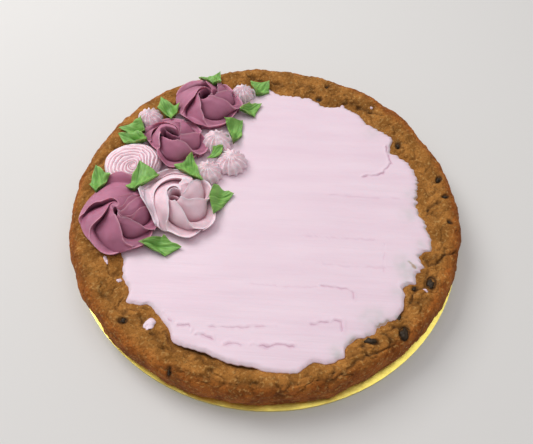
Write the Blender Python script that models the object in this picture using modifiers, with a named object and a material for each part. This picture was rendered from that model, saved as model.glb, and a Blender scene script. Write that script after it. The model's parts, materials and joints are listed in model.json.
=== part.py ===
"""A round chocolate chip cookie cake on its gold cake board, with piped icing flowers and leaves.

Units are metres and +Z is up. The origin is the middle of the board's underside. The front of the cake is at -Y,
and the flowers stand at its left rear, between -X and +Y.
"""

import math
from dataclasses import dataclass

import bmesh
import bpy
from mathutils import Matrix, Vector, noise
from mathutils.bvhtree import BVHTree

MM = 0.001
FULL_TURN = 2 * math.pi

# Driving sizes
BOARD_RADIUS = 127 * MM
BOARD_THICKNESS = 2.5 * MM
BOARD_SIDES = 96
TOUCH_GAP = 0.3 * MM
COOKIE_RADIUS = 124.5 * MM
COOKIE_WOBBLE = 0.8 * MM
WELL_HEIGHT = 20 * MM
RIM_HEIGHT = 25 * MM
ICING_TOP = 23.2 * MM
ICING_BOTTOM = WELL_HEIGHT + TOUCH_GAP
TURN_STEPS = 108

# The icing stops short of the crust, and its edge wanders: heading in degrees, radius in millimetres
ICING_EDGE = (
    (-149, 97), (-143, 102), (-133, 106), (-128, 101), (-119, 102), (-115, 108), (-108, 106), (-100, 106),
    (-94, 108), (-85, 111), (-79, 111), (-74, 108), (-68, 112), (-62, 107), (-53, 106), (-45, 107), (-39, 105),
    (-34, 99), (-29, 104), (-24, 103), (-19, 101), (-15, 106), (-8, 100), (-1, 95), (9, 99), (16, 101), (22, 99),
    (28, 94), (34, 102), (39, 100), (46, 97), (52, 100), (59, 99), (66, 92), (73, 95), (87, 94), (94, 101),
    (120, 98), (150, 97), (180, 96),
)
ICING_REACH = 100 * MM
CRUST_CLEARANCE = 0.9 * MM

# Radius and height in millimetres, from the middle of the top to the middle of the underside
COOKIE_PROFILE = (
    (0, 20), (62, 20), (100, 20), (102, 20.8), (106, 23.2), (110.5, 24.7), (115, 25), (119.3, 23.6),
    (122.6, 19.9), (124.3, 14.6), (124, 8.6), (122, 4.6), (118.5, 2.8), (62, 2.8), (0, 2.8),
)
UNDERSIDE_END = 4 * MM

# Heading in degrees and radius in millimetres of the chips that show in the crust
CRUST_CHIPS = (
    (10, 113.5), (3.5, 115), (-6.5, 115), (-28, 111), (-33, 105.5), (-43.5, 108), (-46.5, 119), (-55, 111),
    (70, 97.5), (69, 111), (-112.5, 121), (-131.5, 116), (-150, 118), (29, 101), (-74, 118), (45, 117),
)
CHIP_RADIUS = 2.6 * MM
CHIP_SUNK = 1.5 * MM


def millimetres(*values):
    """Returns the values, given in millimetres, in metres."""
    return tuple(value * MM for value in values)


@dataclass(frozen=True)
class Rose:
    """A large piped rose. Its hold is the radius with which it presses against its neighbours."""

    name: str
    middle: tuple
    radius: float
    hold: float
    height: float
    petals: int
    heading: float
    colour: tuple


@dataclass(frozen=True)
class Kiss:
    """A small ribbed star kiss that sits on the flanks of the roses beside it."""

    name: str
    middle: tuple
    radius: float
    height: float
    ribs: int
    heading: float


@dataclass(frozen=True)
class Leaf:
    """A piped leaf from the middle of its base to its tip, with its greatest width and how far the tip lifts."""

    name: str
    base: tuple
    tip: tuple
    width: float
    lift: float


MAUVE = (0.30, 0.11, 0.17, 1.0)
PALE_PINK = (0.78, 0.55, 0.64, 1.0)
LEAF_GREEN = (0.16, 0.36, 0.06, 1.0)
ICING_PINK = (0.80, 0.64, 0.74, 1.0)
CRUST_BROWN = (0.30, 0.14, 0.04, 1.0)
FOIL_GOLD = (0.80, 0.58, 0.22, 1.0)

ROSES = (
    Rose("rose_mauve_rear", millimetres(-47, 75), 26.5 * MM, 26 * MM, 19 * MM, 7, 0.3, MAUVE),
    Rose("rose_mauve_mid", millimetres(-66, 36.5), 25 * MM, 22 * MM, 17 * MM, 7, 0.0, MAUVE),
    Rose("rose_mauve_front", millimetres(-90, -24), 25 * MM, 25 * MM, 18 * MM, 7, 0.5, MAUVE),
    Rose("rose_pink", millimetres(-56, -12), 27 * MM, 28 * MM, 19.5 * MM, 7, 0.2, PALE_PINK),
)
SWIRL_MIDDLE = millimetres(-87, 13)
SWIRL_RADIUS = 20 * MM
SWIRL_HOLD = 23 * MM
SWIRL_HEIGHT = 12 * MM
SWIRL_RIDGES = 5

KISSES = (
    Kiss("kiss_rear_left", millimetres(-84, 57), 9.8 * MM, 13 * MM, 11, 0.1),
    Kiss("kiss_rear_right", millimetres(-22, 87), 10 * MM, 14 * MM, 11, 0.3),
    Kiss("kiss_upper", millimetres(-36.5, 40), 10.5 * MM, 13 * MM, 11, 0.0),
    Kiss("kiss_right", millimetres(-25, 21), 11.5 * MM, 13 * MM, 12, 0.2),
    Kiss("kiss_lower", millimetres(-38.5, 12), 9.6 * MM, 14 * MM, 11, 0.4),
)
KISS_HOLD_ON_ROSE = 19 * MM

LEAVES = (
    Leaf("leaf_01", millimetres(-52, 96), millimetres(-41, 107), 13 * MM, 3 * MM),
    Leaf("leaf_02", millimetres(-70, 52), millimetres(-79, 77), 16 * MM, 3 * MM),
    Leaf("leaf_03", millimetres(-86, 44), millimetres(-105, 48), 11 * MM, 3 * MM),
    Leaf("leaf_04", millimetres(-83, 33), millimetres(-104, 40), 12 * MM, 2 * MM),
    Leaf("leaf_05", millimetres(-106, -12), millimetres(-112, 11), 12 * MM, 2 * MM),
    Leaf("leaf_06", millimetres(-82, -8), millimetres(-80, 15), 20 * MM, 2 * MM),
    Leaf("leaf_07", millimetres(-44, 2), millimetres(-54, 26), 19 * MM, 2 * MM),
    Leaf("leaf_08", millimetres(-42, 21), millimetres(-33, 34), 9 * MM, 2 * MM),
    Leaf("leaf_09", millimetres(-25, 36), millimetres(-21, 59), 14 * MM, 3 * MM),
    Leaf("leaf_10", millimetres(-26, 62), millimetres(-9, 73), 12 * MM, 2 * MM),
    Leaf("leaf_11", millimetres(-14, 80), millimetres(-5, 97), 13 * MM, 3 * MM),
    Leaf("leaf_12", millimetres(-51, -41), millimetres(-74, -46), 14 * MM, 2 * MM),
    Leaf("leaf_13", millimetres(-34, -14), millimetres(-21, -2), 17 * MM, 2 * MM),
)
LEAF_THICKNESS = 1.0 * MM
LEAF_CLEARANCE = 1.5 * MM
LEAF_REACH = 2.6 * MM
LIFT_STEP = 0.3 * MM
LEAF_ROWS = 6
LEAF_COLUMNS = 4


def clear_scene():
    """Removes every object that is in the scene."""
    for item in list(bpy.data.objects):
        bpy.data.objects.remove(item, do_unlink=True)


def new_collection(name, helper=False):
    """Returns a new collection in the scene, hidden from renders when it holds helpers."""
    collection = bpy.data.collections.new(name)
    collection.hide_render = helper
    bpy.context.scene.collection.children.link(collection)
    return collection


def food_material(name, colour, roughness=0.55, metallic=0.0):
    """Returns a Principled material of one colour."""
    material = bpy.data.materials.new(name)
    material.use_nodes = True
    shader = material.node_tree.nodes["Principled BSDF"]
    shader.inputs["Base Color"].default_value = colour
    shader.inputs["Roughness"].default_value = roughness
    shader.inputs["Metallic"].default_value = metallic
    return material


def finish(item, material):
    """Gives an object its material and smooth shading with sharp folds."""
    item.data.materials.clear()
    item.data.materials.append(material)
    item.data.shade_smooth()
    item.data.set_sharp_from_angle(angle=math.radians(40))
    return item


def turned_blank(name, profile, steps, collection):
    """Turns a profile of (radius, height) points about Z and returns the closed result as a mesh object."""
    line = bpy.data.meshes.new(name)
    edges = [(index, index + 1) for index in range(len(profile) - 1)]
    line.from_pydata([(radius, 0.0, height) for radius, height in profile], edges, [])
    item = bpy.data.objects.new(name, line)
    collection.objects.link(item)
    screw = item.modifiers.new("Turn", "SCREW")
    screw.axis = "Z"
    screw.angle = FULL_TURN
    screw.steps = steps
    screw.render_steps = steps
    screw.use_merge_vertices = True
    screw.merge_threshold = 1e-6
    return apply_modifiers(item)


def apply_modifiers(item):
    """Replaces an object's mesh by the one that its modifiers make."""
    bpy.context.view_layer.update()
    graph = bpy.context.evaluated_depsgraph_get()
    made = bpy.data.meshes.new_from_object(item.evaluated_get(graph))
    item.modifiers.clear()
    old = item.data
    item.data = made
    made.name = item.name
    bpy.data.meshes.remove(old)
    return item


def reshape(item, place):
    """Moves each vertex of a turned blank to place(heading, radius, height)."""
    for vertex in item.data.vertices:
        x, y, z = vertex.co
        vertex.co = place(math.atan2(y, x), math.hypot(x, y), z)
    item.data.update()
    return item


def smooth_step(low, high, value):
    """Returns 0 below low, 1 above high and an eased value between."""
    part = min(1.0, max(0.0, (value - low) / (high - low)))
    return part * part * (3 - 2 * part)


def on_closed_line(points, degrees):
    """Returns the value at a heading on a closed list of (degrees, value) points, eased between them."""
    count = len(points)
    for index in range(count):
        start, first = points[index]
        end, second = points[(index + 1) % count]
        span = (end - start) % 360
        along = (degrees - start) % 360
        if along < span:
            return first + (second - first) * smooth_step(0, span, along)
    return points[0][1]


def icing_radius(heading):
    """Returns the radius of the icing's edge at a heading."""
    return on_closed_line(ICING_EDGE, math.degrees(heading)) * MM


def crust_relief(x, y, z):
    """Returns how far the crags and cracks of the crust lift a point of it."""
    broad = noise.noise(Vector((x, y, z)) / (15 * MM))
    fine = noise.noise(Vector((x + 0.3, y, z)) / (6 * MM))
    crack = math.exp(-((noise.noise(Vector((x, y + 0.5, z)) / (19 * MM)) / 0.06) ** 2))
    return (1.1 * broad + 0.7 * fine - 1.0 * crack) * MM


def cookie_place(heading, radius, height):
    """Returns the place of a point of the turned cookie once its rim follows the icing and its crust is craggy."""
    well = icing_radius(heading) + CRUST_CLEARANCE
    wobble = COOKIE_WOBBLE * math.sin(3 * heading + 1.0) + 0.5 * COOKIE_WOBBLE * math.sin(7 * heading)
    if radius > ICING_REACH:
        part = (radius - ICING_REACH) / (COOKIE_RADIUS - ICING_REACH)
        radius = well + part * (COOKIE_RADIUS + wobble - well)
    elif height > UNDERSIDE_END:
        radius = radius * well / ICING_REACH
    x = radius * math.cos(heading)
    y = radius * math.sin(heading)
    crust = smooth_step(well + 1 * MM, well + 5 * MM, radius) * smooth_step(UNDERSIDE_END, 3 * UNDERSIDE_END, height)
    relief = crust * crust_relief(x, y, height)
    outward = 1 + relief * smooth_step(RIM_HEIGHT, WELL_HEIGHT - 4 * MM, height) / radius if crust else 1
    return Vector((x * outward, y * outward, height + relief * smooth_step(8 * MM, RIM_HEIGHT, height)))


def build_cookie(collection, helpers):
    """Builds the baked cookie with the chips that show in its crust fused to it."""
    profile = [millimetres(*point) for point in COOKIE_PROFILE]
    cookie = reshape(turned_blank("cookie", profile, TURN_STEPS, collection), cookie_place)
    surface = tree_of(cookie)
    for heading, radius in CRUST_CHIPS:
        x = radius * MM * math.cos(math.radians(heading))
        y = radius * MM * math.sin(math.radians(heading))
        bpy.ops.mesh.primitive_ico_sphere_add(subdivisions=2, radius=CHIP_RADIUS)
        chip = bpy.context.object
        chip.name = "chip"
        chip.scale.z = 0.8
        chip.location = (x, y, height_over((surface,), x, y) - CHIP_SUNK)
        chip.rotation_euler.z = heading
        for owner in list(chip.users_collection):
            owner.objects.unlink(chip)
        helpers.objects.link(chip)
        chip.hide_render = True
        chip.display_type = "WIRE"
    union = cookie.modifiers.new("Chips", "BOOLEAN")
    union.operation = "UNION"
    union.operand_type = "COLLECTION"
    union.collection = helpers
    apply_modifiers(cookie)
    for chip in list(helpers.objects):
        bpy.data.objects.remove(chip, do_unlink=True)
    return finish(cookie, food_material("baked crust", CRUST_BROWN, 0.8))


# Share of the radius and height of the icing's section, from its middle on top to its middle underneath
ICING_SECTION = (
    (0, 23.2), (0.4, 23.2), (0.66, 23.2), (0.84, 23.1), (0.93, 22.9), (0.975, 22.5), (1, 21.6), (0.985, 20.3),
    (0.6, 20.3), (0, 20.3),
)


def icing_place(heading, radius, height):
    """Returns the place of a point of the icing once it follows its wandering edge and its spatula marks."""
    reach = radius * icing_radius(heading)
    x = reach * math.cos(heading)
    y = reach * math.sin(heading)
    sweep = noise.noise(Vector((x / (45 * MM), y / (22 * MM), 0.0)))
    swell = 0.5 * MM * sweep * smooth_step(ICING_BOTTOM + 0.5 * MM, ICING_TOP - 0.6 * MM, height)
    return Vector((x, y, height + swell))


def build_icing(collection):
    """Builds the spread icing that fills the middle of the cookie."""
    profile = [(share, height * MM) for share, height in ICING_SECTION]
    icing = reshape(turned_blank("icing", profile, TURN_STEPS, collection), icing_place)
    return finish(icing, food_material("pink icing", ICING_PINK, 0.6))


def build_board(collection):
    """Builds the round gold foil cake board."""
    bpy.ops.mesh.primitive_cylinder_add(
        vertices=BOARD_SIDES,
        radius=BOARD_RADIUS,
        depth=BOARD_THICKNESS,
        location=(0, 0, BOARD_THICKNESS / 2),
    )
    board = bpy.context.object
    board.name = "board"
    for owner in list(board.users_collection):
        owner.objects.unlink(board)
    collection.objects.link(board)
    return finish(board, food_material("gold foil", FOIL_GOLD, 0.3, 1.0))


def tree_of(item):
    """Returns a search tree of an object's mesh, which lies unmoved in the world."""
    mesh = bmesh.new()
    mesh.from_mesh(item.data)
    tree = BVHTree.FromBMesh(mesh)
    mesh.free()
    return tree


def height_over(trees, x, y):
    """Returns the height of the highest surface under a point, or 0 where there is none."""
    start = Vector((x, y, 200 * MM))
    down = Vector((0, 0, -1))
    hits = [tree.ray_cast(start, down)[0] for tree in trees]
    return max([hit.z for hit in hits if hit is not None], default=0.0)


def seat_over(trees, x, y, reach):
    """Returns a height that clears everything within reach of a point by the touching gap."""
    heights = [height_over(trees, x, y)]
    for ring in (0.5, 1.0):
        for step in range(8):
            heading = FULL_TURN * step / 8
            near_x = x + ring * reach * math.cos(heading)
            near_y = y + ring * reach * math.sin(heading)
            heights.append(height_over(trees, near_x, near_y))
    return max(heights) + 1.2 * TOUCH_GAP


def piped_disks():
    """Returns (middle, radius, hold) of every rose, swirl and kiss."""
    disks = [(rose.middle, rose.radius, rose.hold) for rose in ROSES]
    disks.append((SWIRL_MIDDLE, SWIRL_RADIUS, SWIRL_HOLD))
    disks += [(kiss.middle, kiss.radius, KISS_HOLD_ON_ROSE) for kiss in KISSES]
    return disks


def free_reach(middle, radius, hold, heading):
    """Returns how far a piped piece reaches at a heading before it meets a neighbour.

    Two pieces that press together share the upright plane between them that lies where the circles of their
    holds cross, so neither passes it.
    """
    reach = radius
    for other, other_radius, other_hold in piped_disks():
        across = Vector(other) - Vector(middle)
        apart = across.length
        if other == middle or apart >= radius + other_radius:
            continue
        plane = (apart**2 + hold**2 - other_hold**2) / (2 * apart) - TOUCH_GAP / 2
        facing = (across.x * math.cos(heading) + across.y * math.sin(heading)) / apart
        if facing > 0:
            reach = min(reach, plane / facing)
    return reach


# Share of the radius at each ring of a piped piece, first on top and then underneath. The layer 1 is the top.
ROSE_RINGS = ((0, 1), (0.1, 1), (0.2, 1), (0.38, 1), (0.56, 1), (0.74, 1), (0.9, 1), (1, 1), (0.86, 0), (0.45, 0), (0, 0))
COLUMNS_PER_PETAL = 5
ROSE_TWIST = 2.1
PETAL_RISE = 0.2
EYE_DEPTH = 0.45
UNDER_REACH = 5 * MM


def rose_place(rose, trees):
    """Returns the function that shapes a turned blank into a rose whose petals wind out from its eye."""

    def place(column, share, layer):
        heading = column + rose.heading + ROSE_TWIST * (0.7 * share + 0.3 * share**4)
        along = (column / FULL_TURN * rose.petals) % 1.0
        lobe = 1 - 0.07 * abs(2 * along - 1) ** 2
        reach = min(free_reach(rose.middle, rose.radius, rose.hold, heading), rose.radius * lobe) * share
        x = rose.middle[0] + reach * math.cos(heading)
        y = rose.middle[1] + reach * math.sin(heading)
        seat = seat_over(trees, x, y, UNDER_REACH)
        if layer < 0.5:
            return Vector((x, y, seat))
        dome = 1 - 0.62 * smooth_step(0.15, 1.1, share)
        petal = PETAL_RISE * (along**1.3 - 0.5) * smooth_step(0.0, 0.3, share)
        eye = EYE_DEPTH * (1 - smooth_step(0.02, 0.22, share))
        middle_seat = seat_over(trees, *rose.middle, UNDER_REACH)
        height = middle_seat + rose.height * (dome + petal - eye)
        return Vector((x, y, max(height, seat + 2.5 * MM)))

    return place


def build_rose(rose, trees, collection):
    """Builds one large rose on what lies beneath it."""
    blank = turned_blank(rose.name, ROSE_RINGS, rose.petals * COLUMNS_PER_PETAL, collection)
    reshape(blank, rose_place(rose, trees))
    return finish(blank, food_material(rose.name + " buttercream", rose.colour, 0.5))


SWIRL_RINGS = (
    (0, 1), (0.1, 1), (0.2, 1), (0.3, 1), (0.4, 1), (0.5, 1), (0.6, 1), (0.7, 1), (0.8, 1), (0.92, 1), (1, 1),
    (0.85, 0), (0.45, 0), (0, 0),
)
SWIRL_STEPS = 32


def swirl_place(trees):
    """Returns the function that shapes a turned blank into a flat swirl with a ridge that winds round it."""

    def place(heading, share, layer):
        reach = free_reach(SWIRL_MIDDLE, SWIRL_RADIUS, SWIRL_HOLD, heading) * share
        x = SWIRL_MIDDLE[0] + reach * math.cos(heading)
        y = SWIRL_MIDDLE[1] + reach * math.sin(heading)
        seat = seat_over(trees, x, y, UNDER_REACH)
        if layer < 0.5:
            return Vector((x, y, seat))
        ridge = 0.6 * MM * math.cos(FULL_TURN * SWIRL_RIDGES * share)
        dome = 1 - 0.5 * smooth_step(0.45, 1.05, share)
        height = seat_over(trees, *SWIRL_MIDDLE, UNDER_REACH) + SWIRL_HEIGHT * dome + ridge
        return Vector((x, y, max(height, seat + 2.5 * MM)))

    return place


def build_swirl(trees, collection):
    """Builds the flat ridged swirl between the roses."""
    blank = turned_blank("swirl_pink", SWIRL_RINGS, SWIRL_STEPS, collection)
    reshape(blank, swirl_place(trees))
    return finish(blank, food_material("pale swirl", PALE_PINK, 0.5))


KISS_RINGS = ((0, 1), (0.18, 1), (0.45, 1), (0.75, 1), (1, 1), (0.97, 0.5), (0.8, 0), (0, 0))
KISS_PROFILE = ((0, 1), (0.18, 0.84), (0.45, 0.68), (0.75, 0.45), (1, 0.16))


def kiss_place(kiss, trees):
    """Returns the function that shapes a turned blank into a ribbed dome with a small peak."""

    def place(column, share, layer):
        heading = column + kiss.heading + 0.35 * share
        rib = 1 - 0.09 * (1 - math.cos(column * kiss.ribs)) * smooth_step(0.1, 0.5, share)
        reach = free_reach(kiss.middle, kiss.radius, KISS_HOLD_ON_ROSE, heading) * share * rib
        x = kiss.middle[0] + reach * math.cos(heading)
        y = kiss.middle[1] + reach * math.sin(heading)
        seat = seat_over(trees, x, y, 3 * MM)
        if layer < 0.25:
            return Vector((x, y, seat))
        level = 0.1
        if layer > 0.75:
            level = next(height for radius, height in KISS_PROFILE if abs(radius - share) < 0.01)
        middle_seat = seat_over(trees, *kiss.middle, 3 * MM)
        return Vector((x, y, max(middle_seat + kiss.height * level, seat + (0.6 + 0.6 * layer) * MM)))

    return place


def build_kiss(kiss, trees, collection):
    """Builds one small star kiss on what lies beneath it."""
    blank = turned_blank(kiss.name, KISS_RINGS, 2 * kiss.ribs, collection)
    reshape(blank, kiss_place(kiss, trees))
    return finish(blank, food_material(kiss.name + " buttercream", PALE_PINK, 0.5))


def lift_clear(item, trees):
    """Lifts a piece in small steps until it crosses nothing beneath it, and then by the touching gap."""
    lift = 0.0
    while any(tree_of(item).overlap(tree) for tree in trees):
        item.data.transform(Matrix.Translation((0, 0, LIFT_STEP)))
        lift += LIFT_STEP
    if lift:
        item.data.transform(Matrix.Translation((0, 0, TOUCH_GAP)))


def leaf_width(along):
    """Returns a leaf's half width, as a share of its greatest, from its base at 0 to its tip at 1."""
    swell = math.sin(math.pi * (0.18 + 0.82 * along) ** 0.8) ** 0.9 if along < 1 else 0.0
    return max(0.05, swell)


def build_leaf(leaf, trees, collection):
    """Builds one thin wavy leaf that lies over what is beneath it, its tip lifting off."""
    mesh = bmesh.new()
    bmesh.ops.create_grid(mesh, x_segments=LEAF_ROWS, y_segments=LEAF_COLUMNS, size=1.0)
    bmesh.ops.triangulate(mesh, faces=mesh.faces[:])
    base = Vector(leaf.base)
    run = Vector(leaf.tip) - base
    side = Vector((-run.y, run.x)).normalized()
    for vertex in mesh.verts:
        along = (vertex.co.x + 1) / 2
        across = vertex.co.y
        half = leaf.width / 2 * leaf_width(along)
        spot = base + run * along + side * half * across
        fold = 1.4 * MM * abs(across) * leaf_width(along)
        ripple = 0.5 * MM * math.sin(3 * FULL_TURN * along) * across**2
        seat = seat_over(trees, spot.x, spot.y, LEAF_REACH) + LEAF_CLEARANCE
        vertex.co = Vector((spot.x, spot.y, seat + fold + abs(ripple) + leaf.lift * along**2))
    data = bpy.data.meshes.new(leaf.name)
    mesh.to_mesh(data)
    mesh.free()
    item = bpy.data.objects.new(leaf.name, data)
    collection.objects.link(item)
    shell = item.modifiers.new("Thickness", "SOLIDIFY")
    shell.thickness = LEAF_THICKNESS
    shell.offset = -1
    apply_modifiers(item)
    lift_clear(item, trees)
    return finish(item, food_material(leaf.name + " buttercream", LEAF_GREEN, 0.5))


def main():
    """Builds every piece, from the board upwards."""
    clear_scene()
    parts = new_collection("cookie_cake")
    helpers = new_collection("chip_helpers", helper=True)
    build_board(parts)
    cookie = build_cookie(parts, helpers)
    icing = build_icing(parts)
    ground = (tree_of(cookie), tree_of(icing))
    piped = [build_rose(rose, ground, parts) for rose in ROSES]
    piped.append(build_swirl(ground, parts))
    piped += [build_kiss(kiss, ground, parts) for kiss in KISSES]
    beneath = list(ground) + [tree_of(item) for item in piped]
    for leaf in LEAVES:
        beneath.append(tree_of(build_leaf(leaf, beneath, parts)))


main()
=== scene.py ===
"""A round cookie cake with piped buttercream flowers on its gold foil board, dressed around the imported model.

Shapes are worked out in millimetres, with +Z up and the front of the cake at -Y, and turn to metres as each mesh
is made. Headings are in degrees, counted from +X towards +Y.
"""

import itertools
import json
import logging
import math
from dataclasses import dataclass, field
from enum import Enum

import bpy
import numpy as np
from mathutils import Matrix, Vector

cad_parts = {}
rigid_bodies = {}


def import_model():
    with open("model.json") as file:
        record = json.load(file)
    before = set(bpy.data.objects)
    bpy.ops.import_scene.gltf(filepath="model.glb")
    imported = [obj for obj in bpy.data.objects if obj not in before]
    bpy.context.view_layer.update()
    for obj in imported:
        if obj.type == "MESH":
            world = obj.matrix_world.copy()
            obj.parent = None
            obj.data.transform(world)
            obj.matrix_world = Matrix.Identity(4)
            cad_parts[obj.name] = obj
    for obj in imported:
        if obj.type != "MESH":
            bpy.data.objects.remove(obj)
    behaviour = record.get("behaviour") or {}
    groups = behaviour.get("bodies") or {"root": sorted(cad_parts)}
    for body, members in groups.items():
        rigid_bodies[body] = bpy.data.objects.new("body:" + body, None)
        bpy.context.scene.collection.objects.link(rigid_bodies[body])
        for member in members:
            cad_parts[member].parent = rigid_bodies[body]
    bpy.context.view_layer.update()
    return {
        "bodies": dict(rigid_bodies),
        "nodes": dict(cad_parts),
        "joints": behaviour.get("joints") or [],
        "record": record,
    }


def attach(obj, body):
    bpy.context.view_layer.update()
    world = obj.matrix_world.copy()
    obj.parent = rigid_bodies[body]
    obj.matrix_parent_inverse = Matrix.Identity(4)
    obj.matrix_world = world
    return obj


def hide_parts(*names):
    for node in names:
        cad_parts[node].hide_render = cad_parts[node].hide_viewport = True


Array = np.ndarray
Line = tuple[tuple[float, float], ...]
Spot = tuple[float, float]

MM = 0.001
BODY = "root"
BOARD_TOP = 2.5
WELL_HEIGHT = 20.0
ICING_TOP = 23.2

log = logging.getLogger("cookie_cake")


def linear_colour(code: str) -> tuple[float, float, float, float]:
    """Turns an sRGB hex colour to the linear colour that a shader takes.

    Args:
        code: Six hex digits after a hash sign.

    Returns:
        Red, green, blue and an alpha of 1.
    """
    shares = np.array([int(code[start : start + 2], 16) / 255 for start in (1, 3, 5)])
    light = np.where(shares <= 0.04045, shares / 12.92, ((shares + 0.055) / 1.055) ** 2.4)
    return float(light[0]), float(light[1]), float(light[2]), 1.0


def eased(value: Array, low: float, high: float) -> Array:
    """Gives 0 below low, 1 above high and 3s² - 2s³ between, where s is the share of the way.

    Args:
        value: The values to ease.
        low: Where the rise starts.
        high: Where it ends.

    Returns:
        An array of the same shape.
    """
    share = np.clip((np.asarray(value, float) - low) / (high - low), 0.0, 1.0)
    return share * share * (3 - 2 * share)


def bell(value: Array, width: float) -> Array:
    """Gives exp(-(value / width)²), a bump that is 1 at 0."""
    return np.exp(-((np.asarray(value, float) / width) ** 2))


def through(line: Line, where: Array, period: float | None = None) -> Array:
    """Reads a smooth line through (station, value) points, with cubic pieces whose slopes never overshoot.

    The slope at a point is the harmonic mean of the slopes beside it, or 0 at a peak or a dip.

    Args:
        line: The points, in rising order of station.
        where: The stations to read.
        period: The length after which the line repeats, if it does.

    Returns:
        The values, in the shape of where.
    """
    stations, values = np.array(line, float).T
    where = np.asarray(where, float)
    if period is not None:
        order = np.argsort(stations % period)
        stations = (stations % period)[order]
        values = values[order]
        stations = np.concatenate([stations[-2:] - period, stations, stations[:2] + period])
        values = np.concatenate([values[-2:], values, values[:2]])
        where = where % period
    steps = np.diff(stations)
    rises = np.diff(values) / steps
    slopes = np.zeros_like(values)
    product = rises[:-1] * rises[1:]
    total = np.where(product > 0, rises[:-1] + rises[1:], 1.0)
    slopes[1:-1] = np.where(product > 0, 2 * product / total, 0.0)
    index = np.clip(np.searchsorted(stations, where, side="right") - 1, 0, len(steps) - 1)
    share = np.clip((where - stations[index]) / steps[index], 0.0, 1.0)
    start = values[index]
    rise = values[index + 1] - start
    leave = slopes[index] * steps[index]
    arrive = slopes[index + 1] * steps[index]
    curve = start + share * leave
    curve += share**2 * (3 * rise - 2 * leave - arrive)
    curve += share**3 * (leave + arrive - 2 * rise)
    return curve


GRADIENT_COUNT = 256
HASH_FACTORS = np.array([73856093, 19349663, 83492791])


def gradient_table() -> Array:
    """Draws the unit directions that the noise looks up, from a fixed seed."""
    draws = np.random.default_rng(7).normal(size=(GRADIENT_COUNT, 3))
    return draws / np.linalg.norm(draws, axis=1, keepdims=True)


GRADIENTS = gradient_table()


def lump_noise(points: Array, size: float | Array, seed: int = 0) -> Array:
    """Works out gradient noise: each corner of a cubic lattice holds a direction, and the dot products blend.

    Args:
        points: Places, in millimetres, with x, y and z on the last axis.
        size: The size of a lump, or one size for each axis.
        seed: A whole number that picks another pattern.

    Returns:
        Values from about -1 to 1.
    """
    scaled = points / size
    cell = np.floor(scaled).astype(np.int64)
    offset = scaled - cell
    fade = offset**3 * (offset * (offset * 6 - 15) + 10)
    total = np.zeros(points.shape[:-1])
    for corner in itertools.product((0, 1), repeat=3):
        step = np.array(corner)
        keys = (cell + step) * HASH_FACTORS
        mixed = keys[..., 0] ^ keys[..., 1] ^ keys[..., 2] ^ (seed * 40503)
        mixed = ((mixed & 0xFFFFFF) * 2654435) >> 7
        direction = GRADIENTS[mixed % GRADIENT_COUNT]
        weight = np.prod(np.where(step == 1, fade, 1 - fade), axis=-1)
        total += weight * np.sum(direction * (offset - step), axis=-1)
    return 1.7 * total


def distance_to(x: Array, y: Array, line: Line) -> tuple[Array, Array]:
    """Measures each spot's distance from a line of points, seen from above.

    Args:
        x: The spots' x.
        y: The spots' y.
        line: The points of the line.

    Returns:
        The distance, and 1 on the left of the line or -1 on its right.
    """
    nearest = np.full(x.shape, np.inf)
    side = np.zeros(x.shape)
    for (start_x, start_y), (end_x, end_y) in zip(line[:-1], line[1:]):
        run_x = end_x - start_x
        run_y = end_y - start_y
        share = ((x - start_x) * run_x + (y - start_y) * run_y) / (run_x**2 + run_y**2)
        share = np.clip(share, 0.0, 1.0)
        away_x = x - start_x - share * run_x
        away_y = y - start_y - share * run_y
        away = np.hypot(away_x, away_y)
        closer = away < nearest
        side = np.where(closer, np.sign(run_x * away_y - run_y * away_x), side)
        nearest = np.where(closer, away, nearest)
    return nearest, side


def polar_line(line: Line) -> Line:
    """Turns a line of (heading in degrees, radius) points to (x, y) points."""
    return tuple((radius * math.cos(math.radians(head)), radius * math.sin(math.radians(head))) for head, radius in line)


def outward_of(grid: Array) -> Array:
    """Works out the unit normals of a grid whose columns close on themselves.

    Args:
        grid: Rings by columns by 3, the rings running outwards and down, the columns turning left.

    Returns:
        The cross product of the way along the rings and the way round them, made one long.
    """
    along = np.gradient(grid, axis=0)
    around = np.roll(grid, -1, axis=1) - np.roll(grid, 1, axis=1)
    normal = np.cross(along, around)
    return normal / np.maximum(np.linalg.norm(normal, axis=-1, keepdims=True), 1e-9)


@dataclass
class Skin:
    """A closed surface on a grid: the first and last rings are each drawn together into one point.

    The rings run from the top outwards, down and under, and the columns turn left, so the faces point outwards.
    """

    grid: Array
    facts: dict[str, Array] = field(default_factory=dict)

    def faces(self) -> tuple[Array, Array]:
        """Lists the quads between the rings and the triangles at the two poles."""
        rings, columns = self.grid.shape[:2]
        inner = rings - 2
        index = 1 + np.arange(inner * columns).reshape(inner, columns)
        ahead = np.roll(index, -1, axis=1)
        quads = np.stack([index[:-1], index[1:], ahead[1:], ahead[:-1]], axis=-1).reshape(-1, 4)
        last = inner * columns + 1
        cap = np.stack([np.zeros(columns, int), index[0], ahead[0]], axis=-1)
        foot = np.stack([index[-1], np.full(columns, last), ahead[-1]], axis=-1)
        return quads, np.concatenate([cap, foot])

    def flat(self, values: Array) -> Array:
        """Lists a value of each grid point in the order of the mesh's vertices."""
        first = values[0].mean(axis=0, keepdims=True)
        last = values[-1].mean(axis=0, keepdims=True)
        middle = values[1:-1].reshape(-1, *values.shape[2:])
        return np.concatenate([first, middle, last])


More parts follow.
